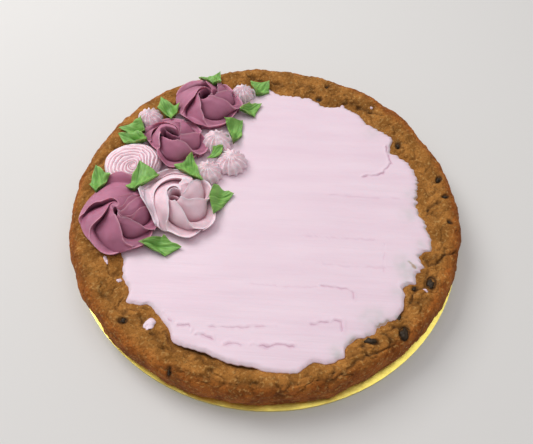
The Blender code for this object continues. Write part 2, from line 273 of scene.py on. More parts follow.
def make_piece(name: str, skins: list[Skin]) -> bpy.types.Object:
    """Puts one or more closed skins into one mesh object, in metres, with their facts as attributes.

    Args:
        name: The object's name.
        skins: The closed surfaces, in millimetres.

    Returns:
        The new object, which sits at the origin.
    """
    points = np.concatenate([skin.flat(skin.grid) for skin in skins])
    counts = [0, *itertools.accumulate((skin.grid.shape[0] - 2) * skin.grid.shape[1] + 2 for skin in skins)]
    lists = [skin.faces() for skin in skins]
    quads = np.concatenate([quad + start for (quad, _), start in zip(lists, counts)])
    triangles = np.concatenate([triangle + start for (_, triangle), start in zip(lists, counts)])
    sizes = np.concatenate([np.full(len(quads), 4), np.full(len(triangles), 3)])
    mesh = bpy.data.meshes.new(name)
    mesh.vertices.add(len(points))
    mesh.vertices.foreach_set("co", (points * MM).astype(np.float32).ravel())
    mesh.loops.add(int(sizes.sum()))
    corners = np.concatenate([quads.ravel(), triangles.ravel()])
    mesh.loops.foreach_set("vertex_index", corners.astype(np.int32))
    mesh.polygons.add(len(sizes))
    mesh.polygons.foreach_set("loop_start", (np.cumsum(sizes) - sizes).astype(np.int32))
    mesh.update(calc_edges=True)
    mesh.validate()
    mesh.shade_smooth()
    for fact in skins[0].facts:
        values = np.concatenate([skin.flat(skin.facts[fact]) for skin in skins]).astype(np.float32)
        if values.ndim > 1:
            mesh.attributes.new(fact, "FLOAT_VECTOR", "POINT").data.foreach_set("vector", values.ravel())
        else:
            mesh.attributes.new(fact, "FLOAT", "POINT").data.foreach_set("value", values)
    piece = bpy.data.objects.new(name, mesh)
    bpy.context.scene.collection.objects.link(piece)
    return piece


def enter(piece: bpy.types.Object, material: bpy.types.Material, node: str | None = None) -> None:
    """Dresses a piece and enters it in the frame.

    Args:
        piece: The new object.
        material: What it is dressed in.
        node: The CAD node that it stands for, if it stands for one.
    """
    piece.data.materials.append(material)
    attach(piece, BODY)
    if node is not None:
        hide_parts(node)
    log.info("%s: %d faces", piece.name, len(piece.data.polygons))


def add_node(tree: bpy.types.NodeTree, kind: str, inputs: dict | None = None, **settings) -> bpy.types.Node:
    """Adds a node, with its settings, and fills its sockets.

    Args:
        tree: The material's node tree.
        kind: The node's type.
        inputs: A value, or the socket to link from, for each input by name or place.
        settings: The node's own properties.

    Returns:
        The new node.
    """
    node = tree.nodes.new(kind)
    for key, value in settings.items():
        setattr(node, key, value)
    for key, value in (inputs or {}).items():
        if isinstance(value, bpy.types.NodeSocket):
            tree.links.new(value, node.inputs[key])
        else:
            node.inputs[key].default_value = value
    return node


def new_material(name: str) -> tuple[bpy.types.Material, bpy.types.NodeTree, bpy.types.Node]:
    """Starts a material and returns it with its tree and its Principled shader."""
    material = bpy.data.materials.new(name)
    material.use_nodes = True
    tree = material.node_tree
    return material, tree, tree.nodes["Principled BSDF"]


def grain_scale(size: float) -> float:
    """Turns the size of a grain, in millimetres, to the scale of a pattern on Object coordinates."""
    return 1 / (size * MM)


@dataclass(frozen=True)
class Buttercream:
    """Butter beaten with icing sugar and pressed through a steel tip.

    It gives the eye a satin, slightly see-through skin and fine drag lines along the way it was pressed. Painted shade
    darkens its folds, creases and undersides, and a painted highlight lightens its thin lips, ridges and crests.
    """

    name: str
    slot: str
    body: str
    # The colour of the painted shade in folds, creases, hollows and undersides, also used for a faint random mottle
    hollow: str
    # The colour of the painted highlight on lips, ridges, ribs and crests
    lip: str
    roughness: float = 0.5
    drag_width: float = 0.55
    drag_length: float = 16.0
    sugar_grain: float = 0.6
    mottle: float = 7.0

    def make(self) -> bpy.types.Material:
        """Builds the material. It reads the piece's lip attribute as painted highlight, hollow as painted shade, and
        flow.
        """
        material, tree, shader = new_material(self.name)
        place = add_node(tree, "ShaderNodeTexCoord")
        lip = add_node(tree, "ShaderNodeAttribute", attribute_name="lip")
        hollow = add_node(tree, "ShaderNodeAttribute", attribute_name="hollow")
        flow = add_node(tree, "ShaderNodeAttribute", attribute_name="flow")
        patches = add_node(
            tree,
            "ShaderNodeTexNoise",
            {"Vector": place.outputs["Object"], "Scale": grain_scale(self.mottle), "Detail": 3.0},
        )
        deepen = add_node(
            tree,
            "ShaderNodeMapRange",
            {"Value": patches.outputs["Fac"], "From Min": 0.3, "From Max": 0.7, "To Min": 0.0, "To Max": 0.18},
        )
        # Painted shade: the hollow attribute, with a faint random mottle added, mixes the body towards the shade colour
        depth = add_node(
            tree, "ShaderNodeMath", {0: hollow.outputs["Fac"], 1: deepen.outputs["Result"]}, operation="ADD", use_clamp=True
        )
        deep = add_node(
            tree,
            "ShaderNodeMix",
            {"Factor": depth.outputs["Value"], 6: linear_colour(self.body), 7: linear_colour(self.hollow)},
            data_type="RGBA",
        )
        # Painted highlight: the lip attribute mixes towards the paler lip colour
        colour = add_node(
            tree,
            "ShaderNodeMix",
            {"Factor": lip.outputs["Fac"], 6: deep.outputs[2], 7: linear_colour(self.lip)},
            data_type="RGBA",
        )
        stretch = add_node(
            tree,
            "ShaderNodeVectorMath",
            {0: flow.outputs["Vector"], 1: (1 / self.drag_width, 1 / self.drag_length, 1.0)},
            operation="MULTIPLY",
        )
        drag = add_node(tree, "ShaderNodeTexNoise", {"Vector": stretch.outputs["Vector"], "Scale": 1.0, "Detail": 2.0})
        sugar = add_node(
            tree,
            "ShaderNodeTexNoise",
            {"Vector": place.outputs["Object"], "Scale": grain_scale(self.sugar_grain), "Detail": 2.0},
        )
        lines = add_node(
            tree, "ShaderNodeBump", {"Height": drag.outputs["Fac"], "Strength": 0.35, "Distance": 0.25 * MM}
        )
        skin = add_node(
            tree,
            "ShaderNodeBump",
            {
                "Height": sugar.outputs["Fac"],
                "Strength": 0.15,
                "Distance": 0.2 * MM,
                "Normal": lines.outputs["Normal"],
            },
        )
        tree.links.new(colour.outputs[2], shader.inputs["Base Color"])
        tree.links.new(skin.outputs["Normal"], shader.inputs["Normal"])
        shader.inputs["Roughness"].default_value = self.roughness
        shader.inputs["IOR"].default_value = 1.45
        shader.inputs["Subsurface Weight"].default_value = 0.35
        shader.inputs["Subsurface Radius"].default_value = (2.2, 0.9, 0.8)
        shader.inputs["Subsurface Scale"].default_value = MM
        return material


@dataclass(frozen=True)
class SpreadFinish:
    """Icing drawn flat with a palette knife.

    It gives the eye a soft satin sheet with long faint strokes, painted shadow beside the knife marks with a sharp
    dark line of painted shadow where the knife tore it, and the crust's colour where it is drawn out thin.
    """

    name: str = "spread pink icing"
    slot: str = "pink_icing"
    body: str = "#eed6e1"
    # The darker pink of the random long strokes and of the painted shadow beside the knife marks
    scraped: str = "#e0bfcf"
    film: str = "#d2c8cb"
    bare: str = "#a87c4c"
    # The sharp line of painted shadow along the knife marks
    torn: str = "#cba0b1"
    shadow_line_width: float = 0.32
    knife_drag: float = 1.3
    knife_length: float = 30.0
    stroke_width: float = 9.0
    stroke_length: float = 60.0

    def make(self) -> bpy.types.Material:
        """Builds the material. It reads the piece's attributes for the painted shadow by the knife marks, the thin film
        and the tear.
        """
        material, tree, shader = new_material(self.name)
        place = add_node(tree, "ShaderNodeTexCoord")
        mark_shadow = add_node(tree, "ShaderNodeAttribute", attribute_name="mark_shadow")
        thin = add_node(tree, "ShaderNodeAttribute", attribute_name="thin")
        tear = add_node(tree, "ShaderNodeAttribute", attribute_name="tear")
        strokes = add_node(
            tree,
            "ShaderNodeVectorMath",
            {
                0: place.outputs["Object"],
                1: (grain_scale(self.stroke_length), grain_scale(self.stroke_width), grain_scale(self.stroke_width)),
            },
            operation="MULTIPLY",
        )
        patches = add_node(
            tree, "ShaderNodeTexNoise", {"Vector": strokes.outputs["Vector"], "Scale": 1.0, "Detail": 4.0}
        )
        drift = add_node(
            tree,
            "ShaderNodeMapRange",
            {"Value": patches.outputs["Fac"], "From Min": 0.35, "From Max": 0.68, "To Min": 0.0, "To Max": 0.3},
        )
        # Painted shadow beside the knife marks, with the random long strokes added
        depth = add_node(
            tree, "ShaderNodeMath", {0: mark_shadow.outputs["Fac"], 1: drift.outputs["Result"]}, operation="ADD", use_clamp=True
        )
        spread = add_node(
            tree,
            "ShaderNodeMix",
            {"Factor": depth.outputs["Value"], 6: linear_colour(self.body), 7: linear_colour(self.scraped)},
            data_type="RGBA",
        )
        filmy = add_node(tree, "ShaderNodeMapRange", {"Value": thin.outputs["Fac"], "From Max": 0.5})
        see_through = add_node(tree, "ShaderNodeMapRange", {"Value": thin.outputs["Fac"], "From Min": 0.5})
        film = add_node(
            tree,
            "ShaderNodeMix",
            {"Factor": filmy.outputs["Result"], 6: spread.outputs[2], 7: linear_colour(self.film)},
            data_type="RGBA",
        )
        colour = add_node(
            tree,
            "ShaderNodeMix",
            {"Factor": see_through.outputs["Result"], 6: film.outputs[2], 7: linear_colour(self.bare)},
            data_type="RGBA",
        )
        # A sharp line of painted shadow right along the knife marks, which also drives the groove's bump
        from_tear = add_node(tree, "ShaderNodeMath", {0: tear.outputs["Fac"]}, operation="ABSOLUTE")
        sharp = add_node(
            tree,
            "ShaderNodeMapRange",
            {"Value": from_tear.outputs["Value"], "From Min": 0.0, "From Max": self.shadow_line_width, "To Min": 1.0, "To Max": 0.0},
            interpolation_type="SMOOTHSTEP",
        )
        line = add_node(
            tree,
            "ShaderNodeMath",
            {0: sharp.outputs["Result"], 1: mark_shadow.outputs["Fac"]},
            operation="MULTIPLY",
            use_clamp=True,
        )
        shadow_lined = add_node(
            tree,
            "ShaderNodeMix",
            {"Factor": line.outputs["Value"], 6: colour.outputs[2], 7: linear_colour(self.torn)},
            data_type="RGBA",
        )
        stretch = add_node(
            tree,
            "ShaderNodeVectorMath",
            {
                0: place.outputs["Object"],
                1: (grain_scale(self.knife_length), grain_scale(self.knife_drag), grain_scale(self.knife_drag)),
            },
            operation="MULTIPLY",
        )
        drag = add_node(tree, "ShaderNodeTexNoise", {"Vector": stretch.outputs["Vector"], "Scale": 1.0, "Detail": 3.0})
        lines = add_node(tree, "ShaderNodeBump", {"Height": drag.outputs["Fac"], "Strength": 0.35, "Distance": 0.35 * MM})
        groove = add_node(
            tree,
            "ShaderNodeBump",
            {"Height": line.outputs["Value"], "Strength": 0.35, "Distance": 0.4 * MM, "Normal": lines.outputs["Normal"]},
            invert=True,
        )
        tree.links.new(shadow_lined.outputs[2], shader.inputs["Base Color"])
        tree.links.new(groove.outputs["Normal"], shader.inputs["Normal"])
        shader.inputs["Roughness"].default_value = 0.5
        shader.inputs["IOR"].default_value = 1.45
        shader.inputs["Subsurface Weight"].default_value = 0.1
        shader.inputs["Subsurface Radius"].default_value = (1.6, 0.9, 0.8)
        shader.inputs["Subsurface Scale"].default_value = MM
        return material


@dataclass(frozen=True)
class BakedDough:
    """Cookie dough baked until its crust browned: a matt, gritty crumb.

    The puffed top is golden tan with olive brown patches, the outer slope, nearest to the pan, is redder and
    darker, and the cracks, the gap under the icing's edge and a ring round each chip are painted dark as shade.
    """

    name: str = "baked cookie crust"
    slot: str = "baked_crust"
    golden: str = "#b17635"
    olive: str = "#895820"
    slope: str = "#b26424"
    browned: str = "#874612"
    # The colour of the painted shade in the cracks, under the icing's edge and round the chips
    crack: str = "#3c2208"
    crumb: str = "#d6a866"
    grit: str = "#472a0c"
    patch_size: float = 9.0
    grit_size: float = 0.9
    crumb_size: float = 1.9

    def make(self) -> bpy.types.Material:
        """Builds the material. It reads the piece's slope and crack attributes."""
        material, tree, shader = new_material(self.name)
        place = add_node(tree, "ShaderNodeTexCoord").outputs["Object"]
        slope = add_node(tree, "ShaderNodeAttribute", attribute_name="slope")
        crack = add_node(tree, "ShaderNodeAttribute", attribute_name="crack")
        patches = add_node(
            tree, "ShaderNodeTexNoise", {"Vector": place, "Scale": grain_scale(self.patch_size), "Detail": 4.0}
        )
        patch = add_node(
            tree, "ShaderNodeMapRange", {"Value": patches.outputs["Fac"], "From Min": 0.36, "From Max": 0.64}
        )
        top = add_node(
            tree,
            "ShaderNodeMix",
            {"Factor": patch.outputs["Result"], 6: linear_colour(self.golden), 7: linear_colour(self.olive)},
            data_type="RGBA",
        )
        side = add_node(
            tree,
            "ShaderNodeMix",
            {"Factor": patch.outputs["Result"], 6: linear_colour(self.slope), 7: linear_colour(self.browned)},
            data_type="RGBA",
        )
        crust = add_node(
            tree,
            "ShaderNodeMix",
            {"Factor": slope.outputs["Fac"], 6: top.outputs[2], 7: side.outputs[2]},
            data_type="RGBA",
        )
        crumbs = add_node(
            tree, "ShaderNodeTexNoise", {"Vector": place, "Scale": grain_scale(self.crumb_size), "Detail": 3.0}
        )
        pale = add_node(
            tree,
            "ShaderNodeMapRange",
            {"Value": crumbs.outputs["Fac"], "From Min": 0.55, "From Max": 0.72, "To Max": 0.55},
        )
        crumbly = add_node(
            tree,
            "ShaderNodeMix",
            {"Factor": pale.outputs["Result"], 6: crust.outputs[2], 7: linear_colour(self.crumb)},
            data_type="RGBA",
        )
        specks = add_node(
            tree, "ShaderNodeTexNoise", {"Vector": place, "Scale": grain_scale(self.grit_size), "Detail": 3.0}
        )
        dark = add_node(
            tree,
            "ShaderNodeMapRange",
            {"Value": specks.outputs["Fac"], "From Min": 0.52, "From Max": 0.74, "To Max": 0.6},
        )
        gritty = add_node(
            tree,
            "ShaderNodeMix",
            {"Factor": dark.outputs["Result"], 6: crumbly.outputs[2], 7: linear_colour(self.grit)},
            data_type="RGBA",
        )
        # Painted shade from the crack attribute: the cracks, the gap under the icing's edge and the rings round the
        # chips
        colour = add_node(
            tree,
            "ShaderNodeMix",
            {"Factor": crack.outputs["Fac"], 6: gritty.outputs[2], 7: linear_colour(self.crack)},
            data_type="RGBA",
        )
        grains = add_node(tree, "ShaderNodeTexVoronoi", {"Vector": place, "Scale": grain_scale(self.crumb_size)})
        coarse = add_node(
            tree,
            "ShaderNodeBump",
            {"Height": grains.outputs["Distance"], "Strength": 0.55, "Distance": 0.9 * MM},
            invert=True,
        )
        fine = add_node(
            tree,
            "ShaderNodeBump",
            {
                "Height": specks.outputs["Fac"],
                "Strength": 0.8,
                "Distance": 0.5 * MM,
                "Normal": coarse.outputs["Normal"],
            },
        )
        tree.links.new(colour.outputs[2], shader.inputs["Base Color"])
        tree.links.new(fine.outputs["Normal"], shader.inputs["Normal"])
        shader.inputs["Roughness"].default_value = 0.8
        shader.inputs["IOR"].default_value = 1.4
        shader.inputs["Specular IOR Level"].default_value = 0.3
        return material


@dataclass(frozen=True)
class MeltedChocolate:
    """A chocolate chip that melted and set again in the oven: nearly black brown, dull with a soft highlight."""

    name: str = "baked chocolate chip"
    slot: str = "baked_crust"
    body: str = "#1c110b"
    bloom: str = "#43331f"
    bloom_size: float = 1.6

    def make(self) -> bpy.types.Material:
        """Builds the material."""
        material, tree, shader = new_material(self.name)
        place = add_node(tree, "ShaderNodeTexCoord").outputs["Object"]
        spots = add_node(
            tree, "ShaderNodeTexNoise", {"Vector": place, "Scale": grain_scale(self.bloom_size), "Detail": 3.0}
        )
        colour = add_node(
            tree,
            "ShaderNodeMix",
            {"Factor": spots.outputs["Fac"], 6: linear_colour(self.body), 7: linear_colour(self.bloom)},
            data_type="RGBA",
        )
        bump = add_node(tree, "ShaderNodeBump", {"Height": spots.outputs["Fac"], "Strength": 0.4, "Distance": 0.4 * MM})
        tree.links.new(colour.outputs[2], shader.inputs["Base Color"])
        tree.links.new(bump.outputs["Normal"], shader.inputs["Normal"])
        shader.inputs["Roughness"].default_value = 0.55
        shader.inputs["Specular IOR Level"].default_value = 0.3
        return material


@dataclass(frozen=True)
class GoldFoil:
    """Metallised foil glued over card: a bright yellow metal, faintly wavy from the card beneath."""

    name: str = "gold foil on card"
    slot: str = "gold_foil"
    body: str = "#fff287"
    # A darker gold where the crease pattern is high
    creased_gold: str = "#e6cb5a"
    wave: float = 14.0
    crease: float = 2.5

    def make(self) -> bpy.types.Material:
        """Builds the material."""
        material, tree, shader = new_material(self.name)
        place = add_node(tree, "ShaderNodeTexCoord").outputs["Object"]
        waves = add_node(tree, "ShaderNodeTexNoise", {"Vector": place, "Scale": grain_scale(self.wave), "Detail": 2.0})
        creases = add_node(
            tree, "ShaderNodeTexNoise", {"Vector": place, "Scale": grain_scale(self.crease), "Detail": 3.0}
        )
        colour = add_node(
            tree,
            "ShaderNodeMix",
            {"Factor": creases.outputs["Fac"], 6: linear_colour(self.body), 7: linear_colour(self.creased_gold)},
            data_type="RGBA",
        )
        swell = add_node(tree, "ShaderNodeBump", {"Height": waves.outputs["Fac"], "Strength": 0.5, "Distance": 0.8 * MM})
        bump = add_node(
            tree,
            "ShaderNodeBump",
            {
                "Height": creases.outputs["Fac"],
                "Strength": 0.12,
                "Distance": 0.2 * MM,
                "Normal": swell.outputs["Normal"],
            },
        )
        tree.links.new(colour.outputs[2], shader.inputs["Base Color"])
        tree.links.new(bump.outputs["Normal"], shader.inputs["Normal"])
        shader.inputs["Metallic"].default_value = 1.0
        shader.inputs["Roughness"].default_value = 0.3
        return material


class HeightField:
    """The height of the highest food over each spot of the cake, on a square raster seen from above."""

    cell = 0.75
    reach = 135.0

    def __init__(self) -> None:
        """Starts with the bare board."""
        side = int(2 * self.reach / self.cell) + 1
        self.height = np.full((side, side), BOARD_TOP)

    def spot(self, x: Array, y: Array) -> tuple[Array, Array]:
        """Turns places to positions on the raster, as rows and columns with their fractions."""
        limit = self.height.shape[0] - 1.001
        row = np.clip((np.asarray(y, float) + self.reach) / self.cell, 0, limit)
        column = np.clip((np.asarray(x, float) + self.reach) / self.cell, 0, limit)
        return row, column

    def cover(self, grid: Array) -> None:
        """Raises the field to the top of a piece, and closes the small holes between its points.

        Args:
            grid: The piece's points, in any shape with x, y and z on the last axis.
        """
        points = grid.reshape(-1, 3)
        row, column = self.spot(points[:, 0], points[:, 1])
        fresh = np.full(self.height.shape, -np.inf)
        np.maximum.at(fresh, (np.rint(row).astype(int), np.rint(column).astype(int)), points[:, 2])
        for _ in range(2):
            empty = np.isinf(fresh)
            fresh[empty] = self.widened(fresh, 1)[empty]
        self.height = np.maximum(self.height, fresh)

    @staticmethod
    def widened(values: Array, cells: int) -> Array:
        """Gives each cell the greatest value within a square of that many cells about it."""
        best = values
        for axis in (0, 1):
            best = np.max([np.roll(best, shift, axis=axis) for shift in range(-cells, cells + 1)], axis=0)
        return best

    def cloak(self, widen: float, blur: float) -> Array:
        """Works out a smooth surface that lies over the food, as something soft laid on it would.

        Args:
            widen: How far each high spot is spread first, in millimetres.
            blur: The half width of the square over which the heights are then averaged twice.

        Returns:
            A raster of heights.
        """
        values = self.widened(self.height, max(1, round(widen / self.cell)))
        cells = max(1, round(blur / self.cell))
        for axis in (0, 1, 0, 1):
            values = np.mean([np.roll(values, shift, axis=axis) for shift in range(-cells, cells + 1)], axis=0)
        return values

    def read(self, values: Array, x: Array, y: Array) -> Array:
        """Reads a raster of heights at any places, blending the four cells about each."""
        row, column = self.spot(x, y)
        low_row = row.astype(int)
        low_column = column.astype(int)
        part_row = row - low_row
        part_column = column - low_column
        near = values[low_row, low_column] * (1 - part_column) + values[low_row, low_column + 1] * part_column
        far = values[low_row + 1, low_column] * (1 - part_column) + values[low_row + 1, low_column + 1] * part_column
        return near * (1 - part_row) + far * part_row

    def at(self, spot: Spot) -> float:
        """Reads the field itself at one spot."""
        return float(self.read(self.height, np.array([spot[0]]), np.array([spot[1]]))[0])


# The icing's edge wanders: heading in degrees and radius
ICING_EDGE: Line = (
    (-149, 97), (-143, 101), (-137, 103), (-134.5, 107.5), (-131, 104), (-129, 100), (-119, 103.5), (-115, 108.5),
    (-106, 107), (-97, 109), (-92, 109), (-88, 111), (-80, 112.5), (-75, 109), (-70, 111.5), (-66, 111), (-64.5, 106.5),
    (-60, 104.5), (-58, 106.5), (-52, 106), (-45, 108), (-38, 103), (-36.5, 100), (-34, 101), (-32, 105),
    (-29.5, 101.5), (-26, 104), (-21, 99.5), (-18, 105.5), (-15, 105), (-8, 100), (-1, 95), (9, 99), (16, 101),
    (22, 99), (28, 94), (34, 102), (39, 100), (46, 97), (52, 100), (59, 99), (66, 92), (73, 95), (87, 94), (94, 101),
    (120, 98), (150, 97), (180, 96),
)


# How ragged the icing's edge is: heading in degrees and share
ICING_TORN: Line = (
    (-140, 0.5), (-115, 0.3), (-85, 0.25), (-60, 0.4), (-52, 1.2), (-45, 1.0), (-41, 0.3), (-33, 0.5), (-26, 1.3),
    (-12, 1.0), (0, 1.2), (25, 1.0), (45, 0.9), (75, 0.8), (150, 0.6),
)


def icing_edge(heading: Array) -> Array:
    """Reads the radius of the icing's edge at headings in degrees, with ragged bites where the knife tore it."""
    smooth = through(ICING_EDGE, heading, 360)
    turn = np.radians(heading)
    rim = np.stack([100 * np.cos(turn), 100 * np.sin(turn), np.zeros_like(turn)], axis=-1)
    bites = 1.2 * lump_noise(rim, 5.0, 3) + 1.3 * lump_noise(rim, 2.3, 4)
    return smooth + bites * through(ICING_TORN, heading, 360)


@dataclass
class BakedCrust:
    """The baked cookie with its puffed rim, its cracks and the chocolate chips that show in it."""

    radius: float = 124.5
    # Heading and radius of the widest part
    rim: Line = (
        (-150, 126.4), (-125, 126.2), (-95, 125.2), (-60, 123.7), (-40, 123.5), (-10, 124.8), (20, 124.2), (60, 124.9),
        (100, 124.1), (140, 125), (180, 125.6),
    )
    columns: int = 840
    exposed_rings: int = 84
    crust_gap: float = 0.6
    finish: BakedDough = BakedDough()
    chip_finish: MeltedChocolate = MeltedChocolate()
    well_reach: float = 100.0
    # Radius and height from the edge of the icing over the rim and down to the board
    profile: Line = (
        (100, 21.7), (102, 22.4), (106, 23.9), (110.5, 24.8), (115, 25), (119.3, 23.6), (122.6, 19.9), (124.3, 14.6),
        (124.5, 8.6), (123.9, 4.6), (121.5, 2.6),
    )
    # The strength of each crack that shows, with heading and radius along it
    cracks: tuple[tuple[float, Line], ...] = (
        (0.8, ((-2, 102), (0, 106), (1, 110))),
        (0.9, ((-21, 101), (-23, 104), (-25, 107), (-23, 110), (-21, 112), (-19, 113), (-18, 116), (-16, 121))),
        (0.8, ((-25, 106), (-28, 108), (-30, 109), (-32, 110), (-34, 108), (-36, 106), (-39, 107), (-41, 108))),
        (0.5, ((-41, 107), (-39, 110), (-36, 114), (-35, 117))),
        (0.7, ((-49, 108), (-49, 112), (-48, 114))),
        (0.7, ((-60, 115), (-60, 110), (-58, 108))),
        (0.55, ((-52, 111), (-52, 116), (-53, 120), (-53, 122))),
        (0.45, ((-112, 121), (-108, 120.6), (-105, 120.8), (-101, 119.3), (-98, 121.5), (-95, 119.5), (-93, 118))),
        (0.5, ((-93, 118), (-89, 119.5), (-84, 120), (-79, 118.8), (-75, 119), (-72, 120.5))),
        (0.4, ((-101, 109), (-101, 112), (-102, 116), (-102, 119))),
        (
            0.85,
            ((-72, 121), (-70, 120), (-68, 119), (-64, 115), (-62, 116), (-60, 115), (-58, 117), (-54, 118), (-52, 115)),
        ),
        (0.9, ((-71, 112), (-70, 113), (-70, 115), (-71, 118), (-72, 121))),
        (0.45, ((-141, 116.4), (-137, 114.3), (-133, 113.9), (-129, 111.2), (-126, 109))),
        (0.5, ((-126, 109), (-122, 111), (-118, 113.6), (-116, 115))),
        (0.9, ((70, 93), (66, 90), (62, 95), (59, 105))),
        (0.7, ((55, 106), (51, 106), (47, 108), (44, 112))),
        (0.7, ((88, 104), (96, 107), (101, 112))),
        (0.6, ((-178, 112), (-172, 116), (-166, 115))),
        (0.6, ((163, 108), (170, 113), (176, 121))),
    )
    crack_depth: float = 1.5
    crack_width: float = 0.85
    # Heading, and the radius where the golden top turns to the redder outer slope
    slope_start: Line = (
        (-130, 122), (-90, 122), (-60, 120), (-20, 118), (15, 118), (30, 117), (44, 116), (63, 119), (90, 121), (150, 121),
    )
    # Heading, radius, half length, half width and the heading of the length of each chocolate chip that shows
    chips: tuple[tuple[float, float, float, float, float], ...] = (
        (10, 113.5, 2.3, 1.5, 60), (3.5, 115, 1.8, 1.2, 20), (-6.5, 115, 1.3, 0.9, 130), (-30, 112, 3.6, 2.4, 75),
        (-34, 105.5, 1.6, 1.3, 60), (-45, 109, 2.5, 1.2, 65), (-48, 117, 3.8, 2.6, 80), (-57, 110, 3.4, 1.9, -10),
        (70, 97.5, 1.9, 1.1, 0), (69, 111, 1.3, 0.9, 40), (-112, 123, 1.4, 0.9, 80), (-130, 116.3, 2.2, 1.5, 0),
        (29, 101, 2.2, 1.3, 90),
    )
    pit_depth: float = 1.5
    # Heading, and how far the crust drops away under the edge of the icing
    gaps: Line = (
        (-118, 0), (-112, 1.6), (-104, 2.2), (-101, 0.6), (-98, 1.6), (-92, 1.8), (-89, 0), (-46, 0.2), (-44, 1.2),
        (-41, 0.3), (-38, 0), (20, 0), (60, 0.6), (90, 0),
    )

    def rings(self) -> tuple[Array, Array]:
        """Lists the radius and height of each ring: few under the icing, and many evenly down the exposed crust.

        Returns:
            The radii and the heights, from the middle of the top to the middle of the underside.
        """
        corners = np.array(self.profile)
        reach = np.concatenate([[0], np.cumsum(np.hypot(*np.diff(corners, axis=0).T))])
        along = np.linspace(0, reach[-1], self.exposed_rings)
        radii = through(tuple(zip(reach, corners[:, 0])), along)
        heights = through(tuple(zip(reach, corners[:, 1])), along)
        foot = corners[-1, 1]
        radii = np.concatenate([[0, 40, 80, 94], radii, [112, 70, 0]])
        heights = np.concatenate([[WELL_HEIGHT] * 4, heights, [foot] * 3])
        return radii, heights

    def blank(self) -> Array:
        """Lays out the plain cookie: beyond the well its radius is stretched to run from the icing's edge to the rim.

        Returns:
            Rings by columns by 3, in millimetres.
        """
        radii, heights = self.rings()
        heading = np.linspace(0, 360, self.columns, endpoint=False)[None, :]
        turn = np.radians(heading)
        well = icing_edge(heading) + self.crust_gap
        rim = through(self.rim, heading, 360)
        share = (radii[:, None] - self.well_reach) / (self.radius - self.well_reach)
        outside = well + share * (rim - well)
        inside = radii[:, None] * well / self.well_reach
        exposed = (np.arange(len(radii)) >= 4)[:, None]
        reach = np.where(exposed, outside, inside)
        reach[-2:] = radii[-2:, None]
        height = np.broadcast_to(heights[:, None], reach.shape)
        return np.stack([reach * np.cos(turn), reach * np.sin(turn), height], axis=-1)

    def crack_field(self, grid: Array) -> Array:
        """Gives 1 in the bed of a crack and 0 away from it. The line of each crack is shaken by fine noise."""
        wander = 1.3 * lump_noise(grid, 4.0, 11)
        x = grid[..., 0] + wander
        y = grid[..., 1] + 1.3 * lump_noise(grid, 4.0, 12)
        field_value = np.zeros(x.shape)
        for strength, crack in self.cracks:
            away, _ = distance_to(x, y, polar_line(crack))
            field_value = np.maximum(field_value, strength * bell(away, self.crack_width / strength**0.7))
        return field_value

    def surface(self) -> Skin:
        """Pushes the blank out and in along its normals: broad puffs, crags, grit, cracks and the pits round chips."""
        grid = self.blank()
        reach = np.hypot(grid[..., 0], grid[..., 1])
        heading = np.degrees(np.arctan2(grid[..., 1], grid[..., 0]))
        height = grid[..., 2]
        slope = eased(reach - through(self.slope_start, heading, 360), -6.0, 3.5)
        slope = np.maximum(slope, 1 - eased(height, 17.0, 21.0))
        slope = slope * (reach > self.well_reach - 12)
        slope = np.clip(slope + 0.45 * lump_noise(grid, 5.0, 21) * slope, 0, 1)
        edge = icing_edge(heading) + self.crust_gap
        mask = eased(reach - edge, 0.3, 3.5) * eased(height, 2.7, 5.5)
        crack = self.crack_field(grid) * mask
        crumpled = 1 - 0.6 * eased(reach - edge, 8.0, 16.0)
        bent = grid + 2.0 * np.stack([lump_noise(grid, 5.0, seed) for seed in (16, 17, 18)], axis=-1)
        crackle = bell(lump_noise(bent, 9.0, 5), 0.08) * mask * crumpled
        calm = 1 - 0.55 * slope
        relief = 1.2 * lump_noise(grid, 16.0, 1) + calm * (0.6 + 0.6 * crumpled) * lump_noise(grid, 6.0, 2)
        relief += calm * 0.5 * lump_noise(grid, 3.0, 6) + (1 - 0.3 * slope) * 0.3 * lump_noise(grid, 1.5, 7)
        relief -= self.crack_depth * crack + 0.9 * crackle
        gap = through(self.gaps, heading, 360) * bell(reach - edge, 1.6) * (reach > edge - 1)
        moved = grid + outward_of(grid) * (relief * mask)[..., None]
        moved[..., 2] -= gap
        # Painted shade in the cracks and the fine crackle, and painted shadow in the gap under the icing's edge
        dark = 0.85 * crack**1.3 + 0.45 * crackle + 0.35 * gap
        for head, radius, half_length, half_width, lie in self.chips:
            spot_x, spot_y = polar_line(((head, radius),))[0]
            turn = math.radians(lie)
            along = (grid[..., 0] - spot_x) * math.cos(turn) + (grid[..., 1] - spot_y) * math.sin(turn)
            across = (grid[..., 1] - spot_y) * math.cos(turn) - (grid[..., 0] - spot_x) * math.sin(turn)
            share = np.hypot(along / half_length, across / half_width)
            beyond = (share - 1) * half_width
            moved[..., 2] -= self.pit_depth * (1 - eased(beyond, -0.5, 1.2)) * mask
            # Painted shade in a ring round each chip
            dark = np.maximum(dark, bell(beyond, 0.7) * mask)
        dark = np.clip(dark, 0, 1)
        return Skin(moved, {"slope": slope, "crack": dark})

